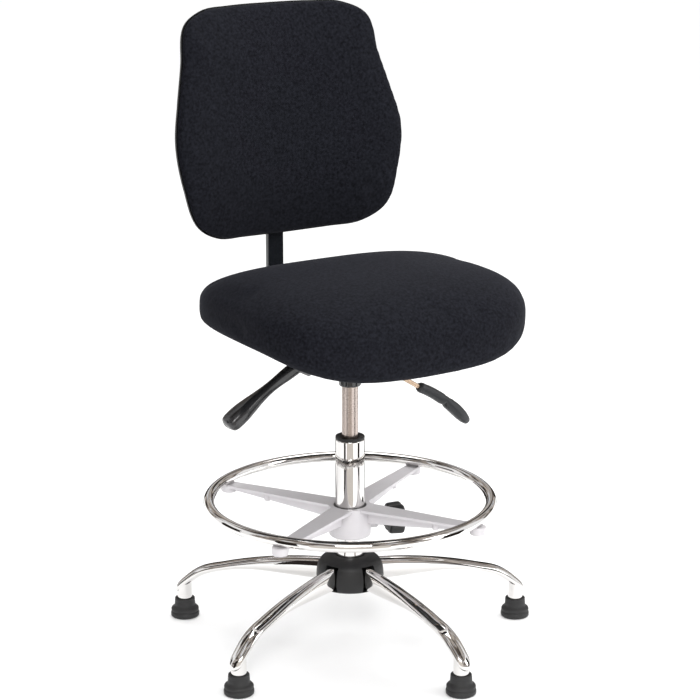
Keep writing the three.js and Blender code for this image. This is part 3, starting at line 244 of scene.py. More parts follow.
def mesh_of(name: str, surfaces: Sequence[Array], crease: float = CREASE) -> bpy.types.Object:
    """Makes one object from grids of points whose columns go round.

    Each grid's rows and columns become quads, doubles at poles and seams merge, and faces are turned out.

    Args:
        name: the object's name.
        surfaces: grids of points in millimetres, shape (rows, columns, 3).
        crease: edges sharper than this many degrees stay sharp.

    Returns:
        The object, at the origin, in metres.
    """
    corners, faces, first = [], [], 0
    for grid in surfaces:
        rows, columns = grid.shape[:2]
        i, j = np.meshgrid(np.arange(rows - 1), np.arange(columns), indexing="ij")
        k = (j + 1) % columns
        quads = np.stack([i * columns + j, i * columns + k, (i + 1) * columns + k, (i + 1) * columns + j], -1)
        faces.append(first + quads.reshape(-1, 4))
        corners.append(grid.reshape(-1, 3))
        first += rows * columns
    mesh = bpy.data.meshes.new(name)
    mesh.from_pydata((np.concatenate(corners) * MM).tolist(), [], np.concatenate(faces).tolist())
    tidy(mesh, crease)
    piece = bpy.data.objects.new(name, mesh)
    bpy.context.scene.collection.objects.link(piece)
    even_shading(piece)
    return piece


def even_shading(piece: bpy.types.Object) -> None:
    """Lets large faces rule the shading, so that flat stretches look flat beside small roundings."""
    weighted = piece.modifiers.new("even_shading", "WEIGHTED_NORMAL")
    weighted.keep_sharp = True
    weighted.weight = 60


def tidy(mesh: bpy.types.Mesh, crease: float) -> None:
    """Merges doubles, turns faces out and shades the mesh smooth except over sharp edges.

    Args:
        mesh: the mesh to change.
        crease: edges sharper than this many degrees stay sharp.
    """
    work = bmesh.new()
    work.from_mesh(mesh)
    bmesh.ops.remove_doubles(work, verts=work.verts, dist=MERGE_DISTANCE)
    bmesh.ops.dissolve_degenerate(work, edges=work.edges, dist=COLLAPSE_DISTANCE)
    bmesh.ops.recalc_face_normals(work, faces=work.faces)
    work.to_mesh(mesh)
    work.free()
    mesh.shade_smooth()
    mesh.set_sharp_from_angle(angle=math.radians(crease))


def softened_copy(node: str, name: str, width: float) -> bpy.types.Object:
    """Copies a CAD node's mesh as a new piece whose sharp edges are rounded.

    Args:
        node: the CAD node.
        name: the new piece's name.
        width: width of the rounding in millimetres.

    Returns:
        The new piece.
    """
    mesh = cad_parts[node].data.copy()
    mesh.name = name
    mesh.materials.clear()
    work = bmesh.new()
    work.from_mesh(mesh)
    bmesh.ops.remove_doubles(work, verts=work.verts, dist=MERGE_DISTANCE)
    bmesh.ops.dissolve_limit(work, angle_limit=FLAT_ANGLE, verts=work.verts, edges=work.edges)
    work.to_mesh(mesh)
    work.free()
    piece = bpy.data.objects.new(name, mesh)
    bpy.context.scene.collection.objects.link(piece)
    bevel = piece.modifiers.new("rounding", "BEVEL")
    bevel.width = width * MM
    bevel.segments = 2
    bevel.limit_method = "ANGLE"
    bevel.angle_limit = math.radians(CREASE)
    bevel.harden_normals = True
    mesh.shade_smooth()
    mesh.set_sharp_from_angle(angle=math.radians(CREASE))
    return piece


# ---------------------------------------------------------------- finishes


class Graph:
    """A material's node tree, with short ways to add and join nodes."""

    def __init__(self, name: str) -> None:
        """Starts a material whose tree holds a Principled shader and its output.

        Args:
            name: the material's name.
        """
        self.material = bpy.data.materials.new(name)
        self.material.use_nodes = True
        self.tree = self.material.node_tree
        self.shader = self.tree.nodes["Principled BSDF"]
        self.place = self.tree.nodes.new("ShaderNodeTexCoord").outputs["Object"]

    def set(self, **constants: object) -> None:
        """Sets constants on the shader's own sockets; an underscore in a name stands for a space."""
        for name, value in constants.items():
            self.shader.inputs[name.replace("_", " ")].default_value = value

    def add(self, kind: str, inputs: dict[str, object] | None = None, **settings: object) -> bpy.types.Node:
        """Adds a node.

        Args:
            kind: the node's type name without its ShaderNode prefix.
            inputs: socket name to constant or to an output socket to join to it.
            settings: the node's own properties.

        Returns:
            The node.
        """
        node = self.tree.nodes.new("ShaderNode" + kind)
        for name, value in settings.items():
            setattr(node, name, value)
        for name, value in (inputs or {}).items():
            if isinstance(value, Socket):
                self.tree.links.new(value, node.inputs[name])
            else:
                node.inputs[name].default_value = value
        return node

    def stretched(self, scale: tuple[float, float, float]) -> Socket:
        """Object coordinates multiplied by a scale along each axis."""
        return self.add("Mapping", {"Vector": self.place, "Scale": scale}).outputs["Vector"]

    def noise(self, scale: float, detail: float = 3.0, at: Socket | None = None) -> Socket:
        """Value of a noise, from 0 to 1.

        Args:
            scale: features per metre.
            detail: octaves of finer noise.
            at: coordinates; object coordinates when left out.

        Returns:
            The noise's output.
        """
        settings = {"Vector": at or self.place, "Scale": scale, "Detail": detail}
        return self.add("TexNoise", settings).outputs["Fac"]

    def ramp(self, value: Socket, low: float, high: float) -> Socket:
        """The value from 0..1 spread over low..high."""
        node = self.add("MapRange", {"Value": value, "To Min": low, "To Max": high})
        return node.outputs["Result"]

    def blend(self, share: Socket, a: Sequence[float], b: Sequence[float]) -> Socket:
        """Colour between a and b by a share from 0 to 1."""
        node = self.add("Mix", data_type="RGBA")
        self.tree.links.new(share, node.inputs["Factor"])
        node.inputs[6].default_value = (*a, 1.0)
        node.inputs[7].default_value = (*b, 1.0)
        return node.outputs[2]

    def math(self, operation: str, a: object, b: object = 0.0) -> Socket:
        """A Math node's result from sockets or constants."""
        node = self.add("Math", operation=operation)
        for socket, value in zip(node.inputs, (a, b)):
            if isinstance(value, Socket):
                self.tree.links.new(value, socket)
            else:
                socket.default_value = value
        return node.outputs["Value"]

    def drive(self, socket: str, value: Socket) -> None:
        """Joins a value to one of the shader's sockets."""
        self.tree.links.new(value, self.shader.inputs[socket])

    def emboss(self, height: Socket, distance: float, strength: float = 1.0) -> None:
        """Adds a bump from a height of 0 to 1.

        Args:
            height: the height.
            distance: what a height of 1 stands for, in metres.
            strength: how much of the bump is used.
        """
        bump = self.add("Bump", {"Height": height, "Distance": distance, "Strength": strength})
        self.tree.links.new(bump.outputs["Normal"], self.shader.inputs["Normal"])


@dataclass(frozen=True)
class Chrome:
    """Bright plating: almost a mirror, with faint waviness and fine wiping haze."""

    tint: tuple[float, float, float] = (0.815, 0.8, 0.785)
    haze: tuple[float, float] = (0.025, 0.07)
    waviness: float = 0.00025

    def build(self, name: str) -> bpy.types.Material:
        """Makes the material."""
        g = Graph(name)
        g.set(Metallic=1.0)
        waves = g.noise(28.0, 2.0)
        g.drive("Base Color", g.blend(g.noise(60.0), self.tint, tuple(0.94 * c for c in self.tint)))
        g.drive("Roughness", g.ramp(g.noise(180.0, 5.0), *self.haze))
        g.emboss(waves, self.waviness)
        return g.material


@dataclass(frozen=True)
class DrawnSteel:
    """Ground or plated steel with fine lines round one axis."""

    tint: tuple[float, float, float] = (0.54, 0.465, 0.425)
    roughness: tuple[float, float] = (0.24, 0.32)
    stretch: tuple[float, float, float] = (0.02, 0.02, 1.0)

    def build(self, name: str) -> bpy.types.Material:
        """Makes the material."""
        g = Graph(name)
        g.set(Metallic=1.0)
        lines = g.noise(2400.0, 2.0, g.stretched(self.stretch))
        darker = tuple(0.86 * c for c in self.tint)
        g.drive("Base Color", g.blend(lines, self.tint, darker))
        g.drive("Roughness", g.ramp(lines, *self.roughness))
        g.emboss(lines, 0.00002)
        return g.material


@dataclass(frozen=True)
class CastAluminium:
    """Tumbled casting: pale, softly shining, with a fine orange skin and duller patches."""

    tint: tuple[float, float, float] = (0.63, 0.61, 0.63)
    roughness: tuple[float, float] = (0.36, 0.5)
    metal: float = 0.2

    def build(self, name: str) -> bpy.types.Material:
        """Makes the material."""
        g = Graph(name)
        g.set(Metallic=self.metal)
        patches = g.noise(40.0, 4.0)
        skin = g.noise(900.0, 3.0)
        g.drive("Base Color", g.blend(patches, self.tint, tuple(0.9 * c for c in self.tint)))
        g.drive("Roughness", g.ramp(patches, *self.roughness))
        g.emboss(skin, 0.00008, 0.7)
        return g.material


@dataclass(frozen=True)
class BlackPaint:
    """Stoved black paint on steel: a clear gloss over a faint orange-peel."""

    tint: tuple[float, float, float] = (0.008, 0.009, 0.011)
    roughness: tuple[float, float] = (0.12, 0.2)
    coat: float = 0.5

    def build(self, name: str) -> bpy.types.Material:
        """Makes the material."""
        g = Graph(name)
        g.set(Coat_Weight=self.coat, Coat_Roughness=0.06, IOR=1.5)
        g.drive("Base Color", g.blend(g.noise(90.0), self.tint, tuple(1.6 * c for c in self.tint)))
        g.drive("Roughness", g.ramp(g.noise(320.0, 2.0), *self.roughness))
        g.emboss(g.noise(420.0, 1.0), 0.00004)
        return g.material


@dataclass(frozen=True)
class MouldedPlastic:
    """Injection-moulded plastic with a spark-eroded grain."""

    tint: tuple[float, float, float] = (0.008, 0.008, 0.0085)
    roughness: tuple[float, float] = (0.42, 0.56)
    grain: float = 0.00006

    def build(self, name: str) -> bpy.types.Material:
        """Makes the material."""
        g = Graph(name)
        g.set(IOR=1.48)
        g.drive("Base Color", g.blend(g.noise(35.0), self.tint, tuple(1.5 * c for c in self.tint)))
        g.drive("Roughness", g.ramp(g.noise(70.0, 4.0), *self.roughness))
        g.emboss(g.noise(1500.0, 2.0), self.grain)
        return g.material


@dataclass(frozen=True)
class WovenWool:
    """Close plain-woven upholstery cloth: crossing yarns, a short nap that catches light, mottled dye."""

    dark: tuple[float, float, float] = (0.0012, 0.0014, 0.0026)
    light: tuple[float, float, float] = (0.0118, 0.0126, 0.0175)
    pitch: float = 0.0014
    dye_range: tuple[float, float] = (0.36, 0.66)
    relief: float = 0.00018

    def build(self, name: str) -> bpy.types.Material:
        """Makes the material."""
        g = Graph(name)
        g.set(
            Roughness=0.92,
            Sheen_Weight=0.05,
            Sheen_Roughness=0.5,
            Sheen_Tint=(0.55, 0.56, 0.68, 1.0),
            Specular_IOR_Level=0.08,
        )
        scale = 2 * math.pi / (20 * self.pitch)  # a wave texture repeats every 2 pi / 20 of its scale
        mottle = g.noise(210.0, 4.0)
        threads = [
            g.add(
                "TexWave",
                {"Vector": g.place, "Scale": scale, "Distortion": 3.5, "Detail": 2.0, "Detail Scale": 3.0},
                wave_type="BANDS",
                bands_direction=axis,
            ).outputs["Fac"]
            for axis in ("X", "Y", "Z")
        ]
        weave = g.math("MULTIPLY", g.math("ADD", g.math("ADD", threads[0], threads[1]), threads[2]), 0.33)
        fuzz = g.noise(1900.0, 3.0)
        height = g.math("ADD", g.math("MULTIPLY", weave, 0.3), g.math("MULTIPLY", fuzz, 0.6))
        dye = g.math("ADD", g.math("MULTIPLY", mottle, 0.55), g.math("MULTIPLY", fuzz, 0.45))
        low, high = self.dye_range
        spread = g.add("MapRange", {"Value": dye, "From Min": low, "From Max": high}).outputs["Result"]
        g.drive("Base Color", g.blend(spread, self.dark, self.light))
        g.emboss(height, self.relief, 0.6)
        return g.material


@dataclass(frozen=True)
class Rubber:
    """Matt moulded rubber with a bloom of grey."""

    tint: tuple[float, float, float] = (0.009, 0.009, 0.0095)
    bloom: tuple[float, float, float] = (0.02, 0.02, 0.021)

    def build(self, name: str) -> bpy.types.Material:
        """Makes the material."""
        g = Graph(name)
        g.set(IOR=1.5)
        g.drive("Base Color", g.blend(g.noise(80.0, 5.0), self.tint, self.bloom))
        g.drive("Roughness", g.ramp(g.noise(120.0), 0.5, 0.68))
        g.emboss(g.noise(700.0, 4.0), 0.00008, 0.6)
        return g.material


@dataclass(frozen=True)
class Plywood:
    """Beech plywood: pale wood with stretched grain."""

    pale: tuple[float, float, float] = (0.55, 0.38, 0.22)
    dark: tuple[float, float, float] = (0.38, 0.23, 0.12)

    def build(self, name: str) -> bpy.types.Material:
        """Makes the material."""
        g = Graph(name)
        grain = g.noise(90.0, 6.0, g.stretched((1.0, 0.08, 1.0)))
        g.drive("Base Color", g.blend(grain, self.pale, self.dark))
        g.drive("Roughness", g.ramp(grain, 0.45, 0.65))
        g.emboss(grain, 0.0001, 0.5)
        return g.material


@dataclass(frozen=True)
class DustCloth:
    """Spun-bonded cloth: thin black fibres pressed in a dimpled sheet."""

    tint: tuple[float, float, float] = (0.01, 0.01, 0.01)

    def build(self, name: str) -> bpy.types.Material:
        """Makes the material."""
        g = Graph(name)
        g.set(Roughness=0.95, Sheen_Weight=0.2)
        cells = g.add("TexVoronoi", {"Vector": g.place, "Scale": 420.0}).outputs["Distance"]
        g.drive("Base Color", g.blend(cells, self.tint, tuple(2.2 * c for c in self.tint)))
        g.emboss(cells, 0.0002)
        return g.material


class Finish(Enum):
    """The chair's finishes: record slot, and what makes the material."""

    CHROME = ("chrome", Chrome())
    SATIN_STEEL = ("satin_steel", DrawnSteel())
    ZINC = ("zinc_steel", DrawnSteel(tint=(0.74, 0.55, 0.4), roughness=(0.25, 0.4), stretch=(1.0, 1.0, 1.0)))
    CAST = ("cast_aluminium", CastAluminium())
    PAINT = ("black_steel", BlackPaint())
    PLASTIC = ("black_plastic", MouldedPlastic())
    GLOSS = ("gloss_black_plastic", BlackPaint(tint=(0.012, 0.012, 0.013), roughness=(0.16, 0.26), coat=0.3))
    GREY = ("grey_plastic", MouldedPlastic(tint=(0.013, 0.014, 0.016), roughness=(0.26, 0.4)))
    RUBBER = ("rubber", Rubber())
    FABRIC = ("fabric", WovenWool())
    PLYWOOD = ("plywood", Plywood())
    DUST = ("dust_cloth", DustCloth())

    def material(self) -> bpy.types.Material:
        """The finish's material, made once."""
        slot, recipe = self.value
        return bpy.data.materials.get("finish_" + slot) or recipe.build("finish_" + slot)


def dress(piece: bpy.types.Object, finish: Finish, part: Part, *replaced: str) -> bpy.types.Object:
    """Gives a new piece its finish and body, and hides the CAD nodes it stands for.

    Args:
        piece: the piece.
        finish: its finish.
        part: the body it moves with.
        replaced: CAD nodes it stands for.

    Returns:
        The same piece.
    """
    piece.data.materials.clear()
    piece.data.materials.append(finish.material())
    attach(piece, part.value)
    if replaced:
        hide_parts(*replaced)
    log.info("piece %s: %d faces, rides on %s", piece.name, len(piece.data.polygons), part.value)
    return piece


def refinish(finish: Finish, *nodes: str) -> None:
    """Gives CAD nodes that stay in view the same finish as the new pieces.

    Args:
        finish: the finish.
        nodes: the CAD nodes.
    """
    for node in nodes:
        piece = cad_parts[node]
        if piece.material_slots:
            for slot in piece.material_slots:
                slot.material = finish.material()
        else:
            piece.data.materials.append(finish.material())


# ---------------------------------------------------------------- base


@dataclass
class StarBase:
    """Five pressed-steel legs in a moulded hub, each on a rubber glide."""

    leg_count: int = 5
    first_angle: float = 57.5
    hub_radius: float = 33.0
    glide_circle: float = 308.0
    root_height: float = 117.0
    tip_height: float = 45.0
    leg_exponent: float = 2.7
    tip_exponent: float = 2.05
    stub_radius: float = 13.0
    stub_bottom: float = 34.3
    scoop_floor: float = 33.0
    slot_half_width: float = 11.3
    stations: Array = field(
        default_factory=lambda: np.array(
            [
                [-0.04, -0.05, 22.0, 40.0],
                [0.084, -0.035, 22.0, 39.0],
                [0.223, -0.02, 23.0, 35.5],
                [0.387, 0.012, 25.0, 28.0],
                [0.551, 0.075, 27.0, 20.0],
                [0.715, 0.2, 28.0, 15.5],
                [0.887, 0.42, 28.0, 16.5],
                [0.971, 0.66, 27.0, 16.5],
                [1.026, 0.86, 24.5, 15.0],
                [1.052, 1.02, 19.0, 12.0],
            ]
        )
    )

    def leg_line(self, count: int = 72) -> tuple[Array, Array, Array]:
        """Centre line and section of a leg that points along +X.

        The stations' reach, drop, width and depth are cubics of the distance along the leg, and the last
        eighth of the length closes in as a quarter ellipse.

        Args:
            count: points along the leg.

        Returns:
            Points (count, 3), half widths and half depths (count,).
        """
        reach = self.hub_radius + (self.glide_circle - self.hub_radius) * self.stations[:, 0]
        height = self.root_height - (self.root_height - self.tip_height) * self.stations[:, 1]
        run = np.concatenate([[0.0], np.cumsum(np.hypot(np.diff(reach), np.diff(height)))])
        at = run[-1] * (1 - (1 - np.linspace(0, 1, count)) ** 1.3)
        table = np.column_stack([reach, height, self.stations[:, 2], self.stations[:, 3]])
        r, z, width, depth = smooth_through(run, table, at).T
        left = (run[-1] - at) / 12.0
        tip = np.sqrt(np.clip(1 - (1 - np.clip(left, 0, 1)) ** 2, 0.0, 1.0))
        return np.column_stack([r, 0 * r, z]), 0.5 * width * tip, 0.5 * depth * (0.35 + 0.65 * tip)

    def leg(self) -> list[Array]:
        """Surfaces of one leg along +X: the pressed tube, and the upright stub under its end.

        The stub is a cylinder whose top follows the leg's centre line: z = leg height at r = R + s cos a.

        Returns:
            Two grids of points.
        """
        path, half_width, half_depth = self.leg_line()
        squareness = self.tip_exponent + (self.leg_exponent - self.tip_exponent) * (
            1 - smooth_step(90.0, 230.0, path[:, 0])
        )
        tube = tube_along(path, Y_AXIS, half_width, half_depth, squareness, 64)
        angle = np.linspace(0, 2 * np.pi, 48, endpoint=False)
        r = self.glide_circle + self.stub_radius * np.cos(angle)
        top = np.interp(r, path[:, 0], path[:, 2]) - 1.0
        share = np.linspace(0, 1, 10)[:, None]
        z = self.stub_bottom + share * (top - self.stub_bottom)
        y = np.broadcast_to(self.stub_radius * np.sin(angle), z.shape)
        stub = np.stack([np.broadcast_to(r, z.shape), y, z], axis=-1)
        return [capped(tube), capped(stub)]

    def glide(self) -> Array:
        """Surface of one glide under its stub: a turned profile of collar, two ridges and foot."""
        profile = np.array(
            [
                [0, 0], [21.5, 0], [23.6, 0.7], [24.8, 2.2], [25, 4], [25, 7.2], [24.4, 8.8],
                [23.2, 9.9], [23.0, 10.6], [23.6, 11.4], [24.2, 12.4], [24.3, 14], [23.8, 15.6],
                [22.4, 17.2], [20.2, 18.4], [18.8, 19.6], [18.2, 21.5], [18.0, 25], [17.9, 27.2],
                [17.3, 27.9], [17.3, 29.1], [17.8, 29.8], [17.6, 32], [17.5, 33.6], [16.9, 34.4],
                [15.8, 34.7], [14.2, 34.7], [13.6, 34.3], [13.6, 33.8], [5, 33.8], [5, 48], [0, 48],
            ]
        )
        return revolve(profile, 64) + np.array([self.glide_circle, 0.0, 0.0])

    def cover(self) -> Array:
        """Surface of the hub cover.

        A turned profile R(z) whose outside is scooped out at each leg: a point keeps its distance across
        the leg, and moves along it towards the hub by a smooth step of that distance times one of height.

        Returns:
            A grid of points.
        """
        outside = np.array(
            [
                [36, 96], [49, 96], [53.5, 97.2], [56, 100], [57.4, 106], [58, 114], [57.6, 123], [56.4, 131],
                [54.6, 137], [52, 141.2], [48.5, 144.6], [44, 147.2], [39, 149.4], [34.5, 150.9],
                [30.5, 151.7], [28.2, 152], [26.4, 151.6], [25.3, 150.4],
            ]
        )
        run = np.concatenate([[0], np.cumsum(np.hypot(*np.diff(outside, axis=0).T))])
        dense = np.stack([np.interp(np.linspace(0, run[-1], 100), run, c) for c in outside.T], axis=1)
        radius, z = dense[:, 0][:, None], dense[:, 1][:, None]
        stretches = ((-36, -16, 14), (-16, -9.5, 22), (-9.5, 9.5, 12), (9.5, 16, 22), (16, 36, 14))
        off = np.radians(np.concatenate([np.linspace(*s, endpoint=False) for s in stretches]))
        along, aside = radius * np.cos(off), radius * np.sin(off)
        valley = 1 - smooth_step(self.slot_half_width, self.slot_half_width + 1.2, np.abs(aside))
        height = smooth_step(97.6, 98.8, z) * (1 - smooth_step(138.5, 142.0, z))
        floor = np.minimum(along, np.sqrt(self.scoop_floor**2 - np.minimum(np.abs(aside), 14.0) ** 2))
        along = along - (along - floor) * valley * height
        sector = np.stack([along, aside, z + 0 * off], axis=-1)
        turns = self.first_angle + 360 / self.leg_count * np.arange(self.leg_count)
        skin = np.concatenate([turned_about_z(sector, turn) for turn in turns], axis=1)
        inner = np.concatenate([turned_about_z(self.lining(off), turn) for turn in turns], axis=1)
        return np.concatenate([skin, inner])

    @staticmethod
    def lining(off: Array) -> Array:
        """Inside of the hub cover over one sector: its lower lip, wall and ceiling.

        Args:
            off: angles of the sector's columns in radians.

        Returns:
            A grid of points.
        """
        inside = np.array([[25.3, 147.5], [28.6, 147.2], [28.6, 97.5], [29.0, 96.0], [36, 96]])
        r, z = inside[:, 0][:, None], inside[:, 1][:, None]
        return np.stack([r * np.cos(off), r * np.sin(off), z + 0 * off], axis=-1)

    def build(self) -> None:
        """Makes the legs, glides and cover, and finishes the hub's socket."""
        for k in range(self.leg_count):
            angle = self.first_angle + 360 / self.leg_count * k
            surfaces = [turned_about_z(s, angle) for s in self.leg()]
            leg = mesh_of(f"leg_{k + 1}", surfaces)
            dress(leg, Finish.CHROME, Part.BASE, f"base_leg_{k + 1}")
            glide = mesh_of(f"foot_{k + 1}", [turned_about_z(self.glide(), angle)], 60)
            dress(glide, Finish.RUBBER, Part.BASE, f"glide_{k + 1}")
        dress(mesh_of("hub_shroud", [self.cover()], 50), Finish.PLASTIC, Part.BASE, "base_hub_cover")
        refinish(Finish.PAINT, "base_hub_socket")


# ---------------------------------------------------------------- column and gas lift


@dataclass
class Column:
    """Chromed outer tube, its bush, and the gas lift's bare cylinder."""

    radius: float = 25.0
    bore: float = 23.5
    bottom: float = 100.0
    top: float = 358.0
    lift_radius: float = 14.0
    lift_bottom: float = 212.0
    taper_start: float = 465.0
    lift_top: float = 505.0
    socket_bottom: float = 452.0
    socket_top: float = 500.0

    def tube(self) -> Array:
        """Turned profile of the outer tube, its top edge rolled in."""
        r, b = self.radius, self.bore
        profile = np.array(
            [
                [b, self.bottom], [r, self.bottom], [r, self.bottom + 40], [r, self.top - 1.2],
                [r - 0.3, self.top - 0.4], [r - 0.8, self.top], [b, self.top], [b, self.bottom],
            ]
        )
        return revolve(profile, 128)

    def bush(self) -> Array:
        """Turned profile of the bush: a dished flange over the tube, and the guide inside it."""
        z = self.top + 0.3
        profile = np.array(
            [
                [14.3, z - 58], [23.2, z - 58], [23.2, z], [24.6, z], [25.0, z + 0.5], [25.0, z + 3.9],
                [24.5, z + 4.8], [23.4, z + 5.0], [22.0, z + 4.7], [20.4, z + 3.6], [18.2, z + 2.9],
                [16.8, z + 2.7], [16.3, z + 2.4], [16.1, z + 1.4], [15.0, z + 1.2], [14.3, z + 0.9],
                [14.3, z - 58],
            ]
        )
        return revolve(profile, 96)

    def cylinder(self) -> Array:
        """Turned profile of the gas lift's cylinder: straight, then tapered, hollow behind its seal."""
        r, t = self.lift_radius, self.lift_top
        profile = np.array(
            [
                [5.3, self.lift_bottom], [r - 0.8, self.lift_bottom], [r, self.lift_bottom + 0.8],
                [r, self.taper_start], [13.2, t], [4.3, t], [4.3, 470], [12.4, 470],
                [12.4, self.lift_bottom + 10], [5.3, self.lift_bottom + 10], [5.3, self.lift_bottom],
            ]
        )
        return revolve(profile, 96)

    def taper_socket(self) -> Array:
        """Turned profile of the collar that the cylinder's taper wedges into."""
        low = self.socket_bottom
        profile = np.array(
            [
                [14.3, low], [16.6, low], [17.8, low + 0.5], [18.5, low + 2.0], [18.5, self.socket_top],
                [13.7, self.socket_top], [14.3, self.taper_start], [14.3, low],
            ]
        )
        return revolve(profile, 96)

    def build(self) -> None:
        """Makes the visible turned pieces and finishes the ones inside."""
        dress(mesh_of("column_sleeve", [self.tube()]), Finish.CHROME, Part.BASE, "column_tube")
        dress(mesh_of("column_ring", [self.bush()], 50), Finish.PLASTIC, Part.BASE, "column_bush")
        dress(mesh_of("lift_cylinder", [self.cylinder()]), Finish.SATIN_STEEL, Part.CARRIAGE, "gas_cylinder")
        dress(mesh_of("lift_collar", [self.taper_socket()]), Finish.PAINT, Part.CARRIAGE, "taper_socket")
        refinish(Finish.PAINT, "column_end_plate")
        refinish(Finish.RUBBER, "rubber_bumper")
        inside = ("thrust_bearing", "bearing_washer", "retaining_clip", "piston_rod", "valve_button")
        refinish(Finish.SATIN_STEEL, *inside)


# ---------------------------------------------------------------- footring


@dataclass
class Knob:
    """Lobed moulded knob whose axis runs along +X from its neck."""

    radius: float
    length: float
    lobes: int = 6

    def surface(self) -> Array:
        """A turned profile whose lobes pull in as r = R(1 - 0.06 depth (1 - cos lobes a))."""
        neck, end = self.length * 0.18, self.length
        profile = np.array(
            [
                [0.0, 0.0, 0], [0.42, 0.0, 0], [0.46, 0.8, 0], [0.5, neck, 0.2], [0.56, neck + 0.3, 0.4],
                [0.88, neck + 0.8, 1], [0.93, neck + 2.0, 1], [0.97, neck + 4.5, 1],
                [1.0, end - 9, 1], [1.0, end - 5, 1], [0.985, end - 3, 1], [0.95, end - 1.5, 1],
                [0.89, end - 0.5, 0.95], [0.8, end, 0.8], [0.6, end, 0.4], [0.58, end - 0.6, 0.2],
                [0.0, end - 0.6, 0],
            ]
        )
        angle = np.linspace(0, 2 * np.pi, 144, endpoint=False)
        pinch = 1 - 0.06 * profile[:, 2][:, None] * (1 - np.cos(self.lobes * angle))
        r = self.radius * profile[:, 0][:, None] * pinch
        x = np.broadcast_to(profile[:, 1][:, None], r.shape)
        return np.stack([x, r * np.cos(angle), r * np.sin(angle)], axis=-1)


